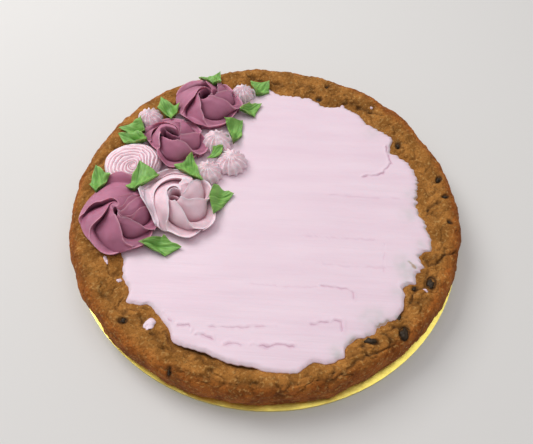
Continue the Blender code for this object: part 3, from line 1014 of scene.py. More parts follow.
    def chip_skins(self, field_now: HeightField) -> list[Skin]:
        """Shapes each chip as a lumpy ball, flattened and half sunk in the crust.

        Args:
            field_now: The height field, which holds the crust.

        Returns:
            One closed skin for each chip.
        """
        polar = np.radians(np.linspace(0, 180, 13))[:, None]
        turn = np.radians(np.linspace(0, 360, 20, endpoint=False))[None, :]
        ball = np.stack(
            [np.sin(polar) * np.cos(turn), np.sin(polar) * np.sin(turn), np.cos(polar) + 0 * turn], axis=-1
        )
        skins = []
        for index, (head, radius, half_length, half_width, lie) in enumerate(self.chips):
            x, y = polar_line(((head, radius),))[0]
            lumpy = ball * (1 + 0.4 * lump_noise(ball * half_length + 50 * index, 1.8, 31))[..., None]
            turned = Matrix.Rotation(math.radians(lie), 3, "Z")
            sized = lumpy * np.array([0.92 * half_length, 0.92 * half_width, 1.6])
            centre = np.array([x, y, field_now.at((x, y)) - 0.6])
            skins.append(Skin(centre + sized @ np.array(turned).T))
        return skins

    def build(self, ground: HeightField) -> None:
        """Makes the crust and its chips, and covers the height field with the crust."""
        skin = self.surface()
        ground.cover(skin.grid)
        enter(make_piece("baked_crust", [skin]), self.finish.make(), "cookie")
        chips = make_piece("chocolate_chips", self.chip_skins(ground))
        enter(chips, self.chip_finish.make())


@dataclass
class SpreadIcing:
    """The pale icing spread over the middle of the cookie, with the marks of the palette knife."""

    finish: SpreadFinish = SpreadFinish()
    columns: int = 940
    inner_rings: int = 20
    outer_rings: int = 62
    outer_start: float = 0.55
    thickness: float = 2.7
    # The knife's scraped marks, each a line of (x, y) points, with its depth
    marks: tuple[tuple[Line, float], ...] = (
        (((-4, -97.9), (-0.9, -98.3), (3.7, -98.4), (9.1, -96.9), (13.7, -96.8), (18, -97.7)), 0.45),
        (((-53.6, -83.5), (-49.2, -87.2)), 0.35),
        (((-44.7, -89.6), (-41.2, -89.6), (-39.6, -89.1), (-38, -90.9)), 0.4),
        (((62, 20), (71, 22), (76, 24), (78, 28), (82, 33), (81, 40), (80, 48)), 0.5),
        (((-28.4, -89.1), (-24.7, -89.6), (-15.4, -89.1), (-6.2, -87.9), (7.8, -86.9)), 0.22),
        (((-34.3, -94), (-30.1, -94.3), (-25.8, -95.9)), 0.45),
        (((-18.2, -98.5), (-14.2, -97.7), (-10.5, -98.3)), 0.35),
        (((27.8, -84.6), (33.3, -83.1), (38.1, -82.4), (41.5, -81.6), (44.6, -81.9), (44.4, -84.3), (44.5, -87.2)), 0.35),
        (((33.6, -61.4), (42.1, -61.8), (48.5, -62.3), (51.4, -64.6), (51.6, -67.2)), 0.3),
        (((72.4, -30.4), (71.6, -39.4), (70.3, -49.5)), 0.12),
        (((25, -28), (44, -28.8), (66, -28.2)), 0.1),
        (((30, -47), (52, -47.8), (75, -46.4)), 0.1),
        (((-10, -62), (12, -63), (30, -62.2)), 0.1),
        (((40, 4), (62, 3), (84, 4)), 0.1),
    )
    mark_width: float = 0.6
    smear: Line = ((85.8, -41.8), (87.8, -43.7), (89.6, -46.2))
    # Where the sheet is drawn out to a greyish film: x, y, radius and strength
    films: tuple[tuple[float, float, float, float], ...] = (
        (83, -44, 6, 0.5), (84, -52, 5, 0.45), (78, -63, 5, 0.35), (59, -80, 6, 0.3), (65, -77.5, 6, 0.3), (50, -93, 4, 0.6),
        (41, -99, 3.5, 0.7), (95, -30, 4, 0.4), (90, -8, 6, 0.35), (93, 8, 5, 0.3), (-60, -84, 5, 0.3), (70, 60, 6, 0.25),
    )
    # Stray dabs on the crust: x, y, half length, half width, heading of the length
    dabs: tuple[tuple[float, float, float, float, float], ...] = (
        (51, 86, 1.6, 1.2, 20), (72, 84, 1.3, 1.0, 60), (-92, -53, 3.4, 0.9, 120), (-82, -65, 1.4, 1.1, 40),
        (-60, -90, 4.0, 2.8, 70), (93, -61, 1.5, 0.8, 130),
    )

    def surface(self) -> Skin:
        """Shapes the sheet: broad swells, long knife strokes, scraped marks with one raised side, and a thick edge.

        Its rings run from the middle to the edge, round it and back beneath.

        Returns:
            The closed skin, with the painted shadow beside the knife marks and where the sheet is thin.
        """
        heading = np.linspace(0, 360, self.columns, endpoint=False)[None, :]
        turn = np.radians(heading)
        edge = icing_edge(heading)
        inner = np.linspace(0, self.outer_start, self.inner_rings, endpoint=False)
        share = np.concatenate([inner, np.linspace(self.outer_start, 1, self.outer_rings)])[:, None]
        reach = share * edge
        x = reach * np.cos(turn)
        y = reach * np.sin(turn)
        spots = np.stack([x, y, np.zeros_like(x)], axis=-1)
        from_edge = edge - reach
        torn = through(ICING_TORN, heading, 360)
        bead_size = 0.45 * np.clip(lump_noise(spots, 16.0, 8) + 0.3 - 0.5 * torn, 0, 1)
        height = ICING_TOP + 0.5 * lump_noise(spots, np.array([45.0, 22.0, 1.0]), 9)
        height += 0.2 * lump_noise(spots, np.array([55.0, 7.0, 1.0]), 10)
        height += 0.09 * lump_noise(spots, np.array([30.0, 2.6, 1.0]), 14) * eased(reach, 20, 50)
        height += bead_size * bell(from_edge - 2.2, 1.4) - 0.7 * bell(from_edge, 1.0)
        height -= 0.45 * torn * (1 - eased(from_edge, 0, 5))
        mark_shadow = np.zeros_like(x)
        tear = np.full_like(x, 9.0)
        bent_x = x + 0.7 * lump_noise(spots, 3.5, 17)
        bent_y = y + 0.9 * lump_noise(spots, 3.5, 18)
        fading = eased(lump_noise(spots, 5.0, 19), -0.5, 0.2)
        for line, depth in self.marks:
            away, side = distance_to(bent_x, bent_y, line)
            height += depth * (0.7 * bell(away - 1.1, 0.7) * (side > 0) - 0.4 * bell(away, self.mark_width))
            # Painted shadow beside each knife line, stronger for deeper marks and fading in places
            mark_shadow = np.maximum(mark_shadow, (1 - eased(away, 0.5, 1.3)) * min(1.0, 2.2 * depth) * fading)
            tear = np.where(away < np.abs(tear), away * np.where(side > 0, 1.0, -1.0), tear)
        patchy = eased(lump_noise(spots, 4.0, 15), -0.5, 0.5)
        thin = 0.75 * torn * bell(from_edge, 1.3) * patchy
        thin += 0.85 * bell(distance_to(x, y, self.smear)[0] * (1.2 - 0.6 * patchy), 0.8)
        for film_x, film_y, size, strength in self.films:
            thin += 0.75 * strength * bell(np.hypot(x - film_x, y - film_y), size) * (0.6 + 0.6 * patchy)
        thin = np.clip(thin, 0, 0.85)
        top = np.stack([x, y, height], axis=-1)
        rim = height[-1]
        bottom = ICING_TOP - self.thickness
        rows = [top]
        for outward, drop in ((0.25, 0.12), (0.4, 0.3), (0.4, 0.55), (0.0, 0.9), (-0.8, 1.0), (-12.0, 1.0), (-70.0, 1.0)):
            level = rim + drop * (bottom - rim)
            radius = edge[0] + outward
            rows.append(np.stack([radius * np.cos(turn[0]), radius * np.sin(turn[0]), level], axis=-1)[None])
        rows.append(np.zeros_like(rows[-1]) + np.array([0, 0, bottom]))
        grid = np.concatenate(rows)
        extra = grid.shape[0] - mark_shadow.shape[0]
        pad = np.zeros((extra, self.columns))
        facts = {"mark_shadow": np.concatenate([mark_shadow, pad]), "thin": np.concatenate([thin, pad])}
        facts["tear"] = np.concatenate([tear, pad + 9.0])
        return Skin(grid, facts)

    def dab_skins(self, ground: HeightField) -> list[Skin]:
        """Shapes each stray dab as a low, lumpy drop on the crust."""
        share = np.array([0, 0.3, 0.55, 0.75, 0.9, 1.0, 0.9, 0.5, 0])[:, None]
        level = np.array([1, 0.95, 0.85, 0.65, 0.4, 0.1, -0.5, -0.6, -0.6])[:, None]
        turn = np.radians(np.linspace(0, 360, 28, endpoint=False))[None, :]
        skins = []
        for index, (x, y, length, width, heading) in enumerate(self.dabs):
            along = np.cos(turn) * share
            across = np.sin(turn) * share
            ragged = np.stack([along * 3 + 40 * index, across * 3, 0 * along], axis=-1)
            swell = 1 + 0.3 * lump_noise(ragged, 1.8, 13)
            lie = math.radians(heading)
            place_x = x + swell * (length * along * math.cos(lie) - width * across * math.sin(lie))
            place_y = y + swell * (length * along * math.sin(lie) + width * across * math.cos(lie))
            floor = ground.read(ground.height, place_x, place_y)
            grid = np.stack([place_x, place_y, floor + 0.75 * level], axis=-1)
            zero = np.zeros(grid.shape[:2])
            skins.append(Skin(grid, {"mark_shadow": zero, "thin": zero, "tear": zero + 9.0}))
        return skins

    def build(self, ground: HeightField) -> None:
        """Makes the icing and its stray dabs, and covers the height field."""
        material = self.finish.make()
        dabs = make_piece("icing_dabs", self.dab_skins(ground))
        skin = self.surface()
        ground.cover(skin.grid)
        enter(make_piece("spread_icing", [skin]), material, "icing")
        enter(dabs, material)


# Each cream: its name, its slot, its body colour, the colour of its painted shade and the colour of its painted
# highlight
MAUVE = Buttercream("mauve buttercream", "mauve_buttercream", "#c07994", "#581d39", "#dba4b6")
PALE = Buttercream("pale pink buttercream", "pink_buttercream", "#f9dae3", "#a3566a", "#feedf3")
GREEN = Buttercream("green buttercream", "green_buttercream", "#82b457", "#4c7a2a", "#9acb6c", 0.5, 0.7, 12.0)


@dataclass(frozen=True)
class Lip:
    """One lip of a rose.

    Its path gives its heading at each share of the plain radius, from the eye to the outline. An open lip spreads to
    a dish towards the outline, and a closed one stays folded over its neighbour. The crease beyond the lip is cut
    between the shares start and end, and deep scales its depth.
    """

    path: Line
    opening: float = 1.0
    start: float = 0.0
    end: float = 2.0
    deep: float = 1.0

    def strength(self, share: Array) -> Array:
        """Gives how deep the crease beyond the lip is cut, along the share of the radius."""
        return self.deep * eased(share, self.start, self.start + 0.14) * (1 - eased(share, self.end - 0.14, self.end))


@dataclass(frozen=True)
class Hollow:
    """A steep hollow in the eye of a rose, oval from above, with a thin petal that stands across it."""

    offset: Spot
    half_length: float
    half_width: float
    heading: float
    depth: float
    petal_height: float = 0.0
    petal_bow: float = -0.1

    def dig(self, x: Array, y: Array) -> tuple[Array, Array]:
        """Works out how far the hollow goes down at each place.

        Args:
            x: Places from the rose's middle.
            y: Places from the rose's middle.

        Returns:
            The depth, less the petal that stands in it, and how far inside the hollow the place is, from 0 to 1.
        """
        turn = math.radians(self.heading)
        along = (x - self.offset[0]) * math.cos(turn) + (y - self.offset[1]) * math.sin(turn)
        across = (y - self.offset[1]) * math.cos(turn) - (x - self.offset[0]) * math.sin(turn)
        inside = 1 - eased(np.hypot(along / self.half_length, across / self.half_width), 0.72, 1.06)
        behind = across - 0.25 * self.half_width - self.petal_bow * along**2
        petal = np.where(behind > 0, bell(behind, 0.35), bell(behind, 1.6))
        return inside * (self.depth - self.petal_height * petal), inside


@dataclass
class PipedRose:
    """A large rosette piped with an open star tip.

    Its lips wind out of the eye to the left. Near the eye each lip hangs over the crease beyond it, and towards
    the outside it opens to a broad dish, whose rim is the rose's scalloped outline.
    """

    node: str
    cream: Buttercream
    middle: Spot
    plain_radius: float
    height: float
    lips: tuple[Lip, ...]
    # Heading and radius of the outline
    outline: Line
    hollows: tuple[Hollow, ...]
    seed: int
    ring_count: int = 140
    sunk: float = 0.6
    # All of these run over the share of the radius
    lip_place: Line = ((0.0, 1.0), (0.55, 1.0), (0.68, 0.9), (0.78, 0.6), (0.86, 0.3), (0.94, 0.1), (1.0, 0.0))
    dome: Line = (
        (0.0, 0.96), (0.15, 1.0), (0.3, 0.985), (0.45, 0.91), (0.6, 0.79), (0.75, 0.62), (0.88, 0.44), (0.95, 0.35),
        (1.0, 0.29),
    )
    crease_depth: Line = (
        (0.0, 0.3), (0.1, 1.2), (0.17, 2.8), (0.25, 4.6), (0.4, 6.3), (0.6, 6.4), (0.78, 4.8), (0.9, 3.2), (1.0, 2.2),
    )
    overhang: Line = (
        (0.0, 0.0), (0.12, 0.5), (0.2, 1.1), (0.35, 1.9), (0.5, 1.9), (0.65, 1.3), (0.76, 0.3), (0.84, -1.0), (1.0, -1.4),
    )
    folded_overhang: float = 2.1
    outer_face: tuple[float, ...] = (
        0, 0.02, 0.05, 0.1, 0.17, 0.25, 0.33, 0.41, 0.49, 0.57, 0.65, 0.72, 0.79, 0.85, 0.9, 0.94, 0.965, 0.985, 0.995, 1,
    )
    inner_face: tuple[float, ...] = (0.015, 0.04, 0.08, 0.14, 0.21, 0.29, 0.37, 0.46, 0.55, 0.64, 0.73, 0.81, 0.88, 0.94, 0.98)
    full_crease: float = 5.0
    bead: float = 0.45
    bead_width: float = 0.45

    def reach_at(self, share: Array, full: Array) -> Array:
        """Turns the share of the radius to millimetres: a plain circle in the middle that grows to the outline."""
        return share * (self.plain_radius + (full - self.plain_radius) * eased(share, 0.4, 1.0))

    def lip_heading(self, lip: Lip, share: Array) -> Array:
        """Reads a lip's heading at the share of each ring.

        Args:
            lip: The lip, whose path counts in shares of the plain radius.
            share: The share of the radius of each ring.

        Returns:
            The headings in degrees.
        """
        fine = np.linspace(0, 1.3, 400)
        path = []
        for plain_share, heading in lip.path:
            full = float(through(self.outline, np.array(heading), 360))
            ring = float(np.interp(plain_share * self.plain_radius, self.reach_at(fine, full), fine))
            if not path or ring > path[-1][0] + 0.004:
                path.append((ring, heading))
        return through(tuple(path), share)

    def columns(self, share: Array) -> dict[str, Array]:
        """Lays the columns between the lips and creases of every ring.

        A petal runs from the crease before it, up its outer face to its lip, and down its inner face to the crease
        after it. The lip stands at the crease after it near the eye, and an open one at the crease before it at
        the outline.

        Args:
            share: The share of the radius of each ring.

        Returns:
            Arrays of rings by columns: heading in radians, part (the share of the face), outer (1 on an outer
            face), width (the face's width in radians), petal (its number), flow (the place across the petals),
            opening, strength (of the crease that the face goes down to) and strength_here (of the lip's own), and
            the leaning direction of the nearest lip as lean_x and lean_y, with its radial share.
        """
        lip = np.radians(np.stack([self.lip_heading(one, share) for one in self.lips], axis=1))
        reach = self.reach_at(share[:, None], through(self.outline, np.degrees(lip), 360))
        run_x = np.gradient(reach * np.cos(lip), axis=0)
        run_y = np.gradient(reach * np.sin(lip), axis=0)
        run = np.maximum(np.hypot(run_x, run_y), 1e-9)
        radial = np.clip((run_x * np.cos(lip) + run_y * np.sin(lip)) / run, 0.1, 1.0)
        ahead = np.roll(lip, -1, axis=1)
        ahead[:, -1] += 2 * math.pi
        opening = np.array([one.opening for one in self.lips])[None, :]
        place = 1 - opening * (1 - through(self.lip_place, share)[:, None])
        after = lip + (1 - place) * (ahead - lip)
        before = np.roll(after, 1, axis=1)
        before[:, 0] -= 2 * math.pi
        rise = np.array(self.outer_face)[None, None, :]
        fall = np.array(self.inner_face)[None, None, :]
        outer_width = (lip - before)[..., None]
        inner_width = (after - lip)[..., None]
        headings = np.concatenate([before[..., None] + outer_width * rise, lip[..., None] + inner_width * fall], axis=-1)
        widths = np.concatenate([outer_width + 0 * rise, inner_width + 0 * fall], axis=-1)
        shape = headings.shape
        part = np.broadcast_to(np.concatenate([rise, fall], axis=-1), shape)
        outer = np.broadcast_to(np.arange(shape[2]) < rise.shape[2], shape)
        petal = np.broadcast_to(np.arange(shape[1])[None, :, None], shape)
        flow = petal + np.where(outer, 0.6 * part, 0.6 + 0.4 * part)
        own = np.stack([one.strength(share) for one in self.lips], axis=1)
        strength = np.where(outer, np.roll(own, 1, axis=1)[..., None], own[..., None])
        found = {"heading": headings, "part": part, "outer": outer, "width": widths, "petal": petal, "flow": flow}
        found["strength"] = strength
        along_lip = {
            "lean_x": -run_y / run,
            "lean_y": run_x / run,
            "radial": radial,
            "opening": opening + 0 * lip,
            "strength_here": own,
        }
        found.update({key: np.broadcast_to(value[..., None], shape) for key, value in along_lip.items()})
        return {key: value.reshape(shape[0], -1) for key, value in found.items()}

    def lobe(self, laid: dict[str, Array]) -> Array:
        """Gives the scallop of the outline: each open lobe swells to its full reach and tucks under the next lip.

        Args:
            laid: The columns.

        Returns:
            The share of the outline's radius that each column reaches.
        """
        opening = np.array([one.opening for one in self.lips])
        start = 1 - 0.06 * opening
        tuck = 1 - 0.13 * opening
        petal, part = laid["petal"], laid["part"]
        swell = start[petal] + (1 - start[petal]) * np.sin(0.5 * math.pi * np.clip(part / 0.45, 0, 1))
        swell = swell - (1 - tuck[petal]) * np.clip((part - 0.45) / 0.55, 0, 1) ** 2
        on_outer = tuck[petal - 1] * (1 - part) + start[petal] * part
        return np.where(laid["outer"], on_outer, swell)

    def surface(self, ground: HeightField) -> Skin:
        """Shapes the rose over what already lies on the cake.

        Height is the dome less the crease's depth times one minus the petal's rise, with a bead along the lip.
        Where another flower lies beneath, the petals are laid over it instead.

        Args:
            ground: The height field.

        Returns:
            The closed skin with its lip, hollow and flow facts.
        """
        share = np.linspace(0, 1, self.ring_count)
        laid = self.columns(share)
        part, outer, petal = laid["part"], laid["outer"], laid["petal"]
        ring = share[:, None]
        heading = laid["heading"]
        full = through(self.outline, np.degrees(heading), 360)
        radius = self.reach_at(ring, full) * (1 + (self.lobe(laid) - 1) * eased(ring, 0.6, 1.0))
        open_out = eased(ring, 0.6, 0.8) * laid["opening"]
        dish = 1 - 0.3 * eased(part, 0, 0.15) - 0.7 * part**1.5
        fall = (1 - part) * (1 - open_out) + dish * open_out
        rim = 1 - 0.55 * eased(part, 0.6, 1.0)
        fall = fall + (rim - fall) * eased(ring, 0.93, 0.99) * laid["opening"]
        bulge = 0.8 * part**0.55 + 0.2 * part**3
        rise = np.where(outer, bulge, fall)
        rng = np.random.default_rng(self.seed)
        vary = 1 + 0.1 * rng.uniform(-1, 1, len(self.lips))
        vary = np.where(outer, vary[petal - 1], vary[petal])
        crease = through(self.crease_depth, share)[:, None] * vary * laid["strength"]
        from_lip = np.where(outer, 1 - part, part) * laid["width"] * radius * laid["radial"]
        from_lip = np.hypot(from_lip, crease * (1 - rise) * (1 - open_out))
        on_lip = bell(from_lip, self.bead_width) * eased(ring, 0.1, 0.18) * np.clip(laid["strength_here"], 0, 1)
        on_rim = np.where(outer, part**2, 1.0) * bell((1 - ring) * full, self.bead_width)
        on_lip = np.maximum(on_lip, on_rim)
        near_lip = np.where(outer, bell(from_lip, 1.6) * part**2, (1 - part) ** np.where(open_out > 0.5, 8.0, 2.0))
        overhang = through(self.overhang, share)[:, None]
        folded = self.folded_overhang * eased(ring, 0.2, 0.4) * (1 - eased(ring, 0.9, 1.0))
        lean = near_lip * (overhang * laid["opening"] + folded * (1 - laid["opening"]))
        lean = lean * np.clip(laid["strength_here"], 0, 1)
        along = radius * np.cos(heading) + lean * laid["lean_x"]
        across = radius * np.sin(heading) + lean * laid["lean_y"]
        x = self.middle[0] + along
        y = self.middle[1] + across
        relief = self.bead * on_lip - crease * (1 - rise)
        inside = np.zeros_like(along)
        pit = np.zeros_like(along)
        for hollow in self.hollows:
            dug, within = hollow.dig(along, across)
            pit = np.maximum(pit, dug)
            inside = np.maximum(inside, within)
        height = ICING_TOP + self.height * through(self.dome, share)[:, None] + relief * (1 - inside) - pit
        cloak = ground.read(ground.cloak(1.5, 2.2), x, y)
        laid_on = cloak + 1.6 + 0.5 * (relief + crease)
        height = 0.5 * (height + laid_on + np.hypot(height - laid_on, 1.0))
        top = np.stack([x, y, height], axis=-1)
        sway = 0.22 * lump_noise(top, 7.0, self.seed) * eased(ring, 0.1, 0.3)
        top = top + outward_of(top) * sway[..., None]
        grid = np.concatenate([top, self.foot(top[-1], ground)])
        extra = grid.shape[0] - top.shape[0]
        fade = np.linspace(0.7, 0.0, extra)[:, None]
        # Painted highlight along the beads of the lips and the rim, fading beneath the rim
        lip = np.concatenate([0.75 * on_lip * (1 - inside), fade**3 * on_rim[-1]])
        # Painted shade down in the creases and in the eye's hollows, and growing beneath the rim
        shade = 0.8 * (1 - rise) ** 2.2 * np.clip(crease / self.full_crease, 0, 1)
        dug_share = np.clip(1.2 * pit / np.maximum(pit.max(), 1.0), 0, 1) ** 1.3
        hollow = np.clip(shade + dug_share, 0, 1)
        under = np.linspace(0.05, 0.45, extra)[:, None] + 0 * x[:1]
        hollow = np.concatenate([hollow, under])
        flow_x = np.concatenate([laid["flow"] * 8.0, np.repeat(laid["flow"][-1:] * 8.0, extra, axis=0)])
        flow_y = np.concatenate([ring * full, np.repeat(full[-1:], extra, axis=0)])
        flow = np.stack([flow_x, flow_y, np.full_like(flow_x, 3.0 * self.seed)], axis=-1)
        return Skin(grid, {"lip": lip, "hollow": hollow, "flow": flow})

    def foot(self, rim: Array, ground: HeightField) -> Array:
        """Turns the surface round the rim, in beneath it and down to its seat.

        Args:
            rim: The last ring of the top, columns by 3.
            ground: The height field.

        Returns:
            The rings beneath the rim, the last drawn together in the middle.
        """
        centre = np.array([self.middle[0], self.middle[1], 0.0])
        outward = rim - centre
        outward[:, 2] = 0
        outward = outward / np.linalg.norm(outward, axis=1, keepdims=True)
        rows = [rim + outward * push - np.array([0, 0, drop]) for push, drop in ((0.2, 0.3), (0.15, 0.7), (-0.4, 1.1), (-1.4, 1.6))]
        inner = rim - outward * 2.4
        seat = ground.read(ground.height, inner[:, 0], inner[:, 1]) - self.sunk
        for push, level in ((-2.0, 0.45), (-2.4, 1.0)):
            low = rim + outward * push
            low[:, 2] = (rim[:, 2] - 1.6) * (1 - level) + seat * level
            rows.append(low)
        half = centre + 0.5 * (rows[-1] - centre)
        half[:, 2] = ICING_TOP - self.sunk
        rows.append(half)
        rows.append(np.zeros_like(half) + centre + np.array([0, 0, ICING_TOP - self.sunk]))
        return np.stack(rows)

    def build(self, ground: HeightField, material: bpy.types.Material) -> None:
        """Makes the rose, and covers the height field with it."""
        skin = self.surface(ground)
        ground.cover(skin.grid[: self.ring_count])
        enter(make_piece("piped_" + self.node, [skin]), material, self.node)


@dataclass
class RibbedSwirl:
    """The flat swirl: a broad ribbon with fine ridges, laid round once and a half from its middle."""

    node: str = "swirl_pink"
    cream: Buttercream = PALE
    middle: Spot = (-89.4, 16.0)
    heart: Spot = (2.6, -5.6)
    radius: float = 17.4
    height: float = 11.0
    ridge_spacing: float = 2.3
    starts: int = 5
    ridge_height: float = 1.3
    seam_heading: float = 72.0
    columns: int = 300
    ring_count: int = 150
    dome: Line = ((0.0, 0.94), (0.2, 1.0), (0.5, 0.97), (0.72, 0.87), (0.88, 0.71), (0.96, 0.6), (1.0, 0.5))

    def surface(self, ground: HeightField) -> Skin:
        """Shapes a low dome with ridges that wind out: the ridge's phase is the radius less a share of the turn.

        Args:
            ground: The height field.

        Returns:
            The closed skin with its lip, hollow and flow facts.
        """
        share = np.linspace(0, 1, self.ring_count)[:, None]
        heading = np.linspace(0, 360, self.columns, endpoint=False)[None, :]
        turn = np.radians(heading)
        outline = self.radius * (1 + 0.03 * np.sin(2 * turn + 1) + 0.015 * np.sin(5 * turn))
        shift = 1 - share**2
        x = share * outline * np.cos(turn) + self.heart[0] * shift
        y = share * outline * np.sin(turn) + self.heart[1] * shift
        reach = share * outline
        wound = 5.0
        laid = np.where(reach > wound, reach, wound * (1 + np.log(np.maximum(reach, 0.2) / wound)))
        spots = np.stack([x, y, 0 * x], axis=-1)
        phase = laid / self.ridge_spacing - self.starts * heading / 360
        phase = phase + 0.45 * lump_noise(spots, 8.0, 41) + 0.16 * lump_noise(spots, 3.0, 42)
        beyond_seam = ((heading - self.seam_heading) % 360) / 360
        step = 1.5 * (1 - beyond_seam) ** 3 * eased(share, 0.2, 0.4) * (1 - eased(share, 0.9, 1.0))
        step = step * (1 - 0.3 * share) * (beyond_seam > 0)
        saw = phase % 1.0
        crest = np.where(saw < 0.58, saw / 0.58, (1 - saw) / 0.42)
        crest = np.sin(0.5 * math.pi * crest)
        ridged = eased(reach, 0.8, 2.2) * (1 - 0.85 * eased(share, 0.88, 0.97))
        height = ICING_TOP + self.height * through(self.dome, share) + self.ridge_height * (crest - 0.6) * ridged - step
        place_x = self.middle[0] + x
        place_y = self.middle[1] + y
        cloak = ground.read(ground.cloak(1.0, 1.6), place_x, place_y) + 1.5
        height = 0.5 * (height + cloak + np.hypot(height - cloak, 0.8))
        top = np.stack([place_x, place_y, height], axis=-1)
        centre = np.array([self.middle[0], self.middle[1], 0.0])
        rim = top[-1]
        rows = [top]
        for scale, level in ((1.012, 0.15), (1.015, 0.4), (0.99, 0.7), (0.95, 1.0), (0.5, 1.0), (0.0, 1.0)):
            row = centre + scale * (rim - centre)
            floor = ground.read(ground.height, row[:, 0], row[:, 1]) - 0.6
            row[:, 2] = rim[:, 2] * (1 - level) + floor * level
            rows.append(row[None])
        rows[-1][..., 2] = ICING_TOP - 0.6
        grid = np.concatenate(rows)
        extra = grid.shape[0] - self.ring_count
        pad = np.ones((extra, self.columns))
        # Painted highlight on the ridges' crests and round the rim, and painted shade in the valleys and beneath
        lip = np.clip(0.55 * crest**3 * ridged + 0.4 * eased(share, 0.88, 0.96), 0, 1)
        lip = np.concatenate([lip, 0.4 * pad])
        hollow = np.concatenate([0.4 * (1 - crest) ** 2 * ridged, 0.1 * pad])
        flow_y = np.concatenate([reach, reach[-1:] * pad])
        flow_x = flow_y * 0 + heading / 4
        flow = np.stack([flow_y, flow_x, 0 * flow_x], axis=-1)
        return Skin(grid, {"lip": lip, "hollow": hollow, "flow": flow})

    def build(self, ground: HeightField, material: bpy.types.Material) -> None:
        """Makes the swirl, and covers the height field with it."""
        skin = self.surface(ground)
        ground.cover(skin.grid[: self.ring_count])
        enter(make_piece("piped_" + self.node, [skin]), material, self.node)


@dataclass
class StarKiss:
    """A small star kiss: a squat dome of sharp ribs that fan out from a short peak."""

    node: str
    middle: Spot
    radius: float
    height: float
    ribs: int
    peak: float = 1.6
    lean: Spot = (0.0, 0.0)
    cream: Buttercream = PALE
    groove: float = 1.4
    twist: float = 0.25
    columns_per_rib: int = 14
    ring_count: int = 64
    # Share of the radius and of the height, from the peak to the seat
    profile: Line = (
        (0.0, 1.0), (0.06, 0.99), (0.14, 0.975), (0.3, 0.94), (0.5, 0.87), (0.68, 0.77), (0.83, 0.62), (0.94, 0.43),
        (1.0, 0.22), (0.98, 0.08), (0.92, -0.05),
    )

    def surface(self, ground: HeightField) -> Skin:
        """Turns the profile and cuts a groove between each two ribs: its depth goes as |sin| of half the rib angle.

        Args:
            ground: The height field.

        Returns:
            The closed skin with its lip, hollow and flow facts.
        """
        corners = np.array(self.profile) * np.array([self.radius, self.height])
        length = np.concatenate([[0], np.cumsum(np.hypot(*np.diff(corners, axis=0).T))])
        along = np.linspace(0, length[-1], self.ring_count)
        radii = through(tuple(zip(length, corners[:, 0])), along)[:, None]
        levels = through(tuple(zip(length, corners[:, 1])), along)[:, None]
        columns = self.ribs * self.columns_per_rib
        turn = np.linspace(0, 2 * math.pi, columns, endpoint=False)[None, :]
        slope_r = np.gradient(radii[:, 0])[:, None]
        slope_z = np.gradient(levels[:, 0])[:, None]
        size = np.hypot(slope_r, slope_z)
        rng = np.random.default_rng(round(abs(self.middle[0] * 10)))
        uneven = 1 + 0.3 * rng.uniform(-1, 1, self.ribs)[np.arange(columns) // self.columns_per_rib][None, :]
        valley = np.abs(np.sin(0.5 * self.ribs * turn)) ** 0.85
        share = radii / self.radius
        depth = self.groove * eased(share, 0.03, 0.5) * valley * uneven
        radius = np.maximum(radii + depth * slope_z / size, 0.0)
        level = levels - depth * slope_r / size + self.peak * bell(radii, 1.1)
        heading = turn + self.twist * share + 0.08 * rng.uniform(-1, 1)
        near_peak = 1 - eased(share, 0.0, 0.4)
        x = self.middle[0] + radius * np.cos(heading) + self.lean[0] * near_peak
        y = self.middle[1] + radius * np.sin(heading) + self.lean[1] * near_peak
        base = min(ground.at(self.middle), ICING_TOP + 2.0)
        grid = np.stack([x, y, base + level], axis=-1)
        ragged = 0.28 * lump_noise(grid, 2.6, self.ribs) * eased(along, 0.8, 2.5)[:, None]
        grid = grid + outward_of(grid) * ragged[..., None]
        centre = np.array([self.middle[0], self.middle[1], 0.0])
        under = centre + 0.5 * (grid[-1:] - centre)
        under[..., 2] = base - 0.6
        last = np.zeros_like(under) + centre + np.array([0, 0, base - 0.6])
        grid = np.concatenate([grid, under, last])
        # Painted highlight on the ribs and the peak, and painted shade in the grooves and beneath
        rib = (1 - valley) ** 1.2 * eased(share, 0.02, 0.15) + 0.7 * (1 - eased(share, 0.0, 0.15))
        lip = np.concatenate([0.3 + 0.6 * rib + 0 * x, np.zeros((2, columns))])
        hollow = np.concatenate([0.16 * valley**4 * eased(share, 0.1, 0.5) + 0 * x, np.ones((2, columns))])
        flow_x = np.repeat(turn * self.radius, grid.shape[0], axis=0)
        flow_y = np.concatenate([along[:, None] + 0 * x, np.full((2, columns), length[-1])])
        return Skin(grid, {"lip": lip, "hollow": hollow, "flow": np.stack([flow_x, flow_y, 0 * flow_x], axis=-1)})

    def build(self, ground: HeightField, material: bpy.types.Material) -> None:
        """Makes the kiss, and covers the height field with it."""
        skin = self.surface(ground)
        ground.cover(skin.grid[: self.ring_count])
        enter(make_piece("piped_" + self.node, [skin]), material, self.node)


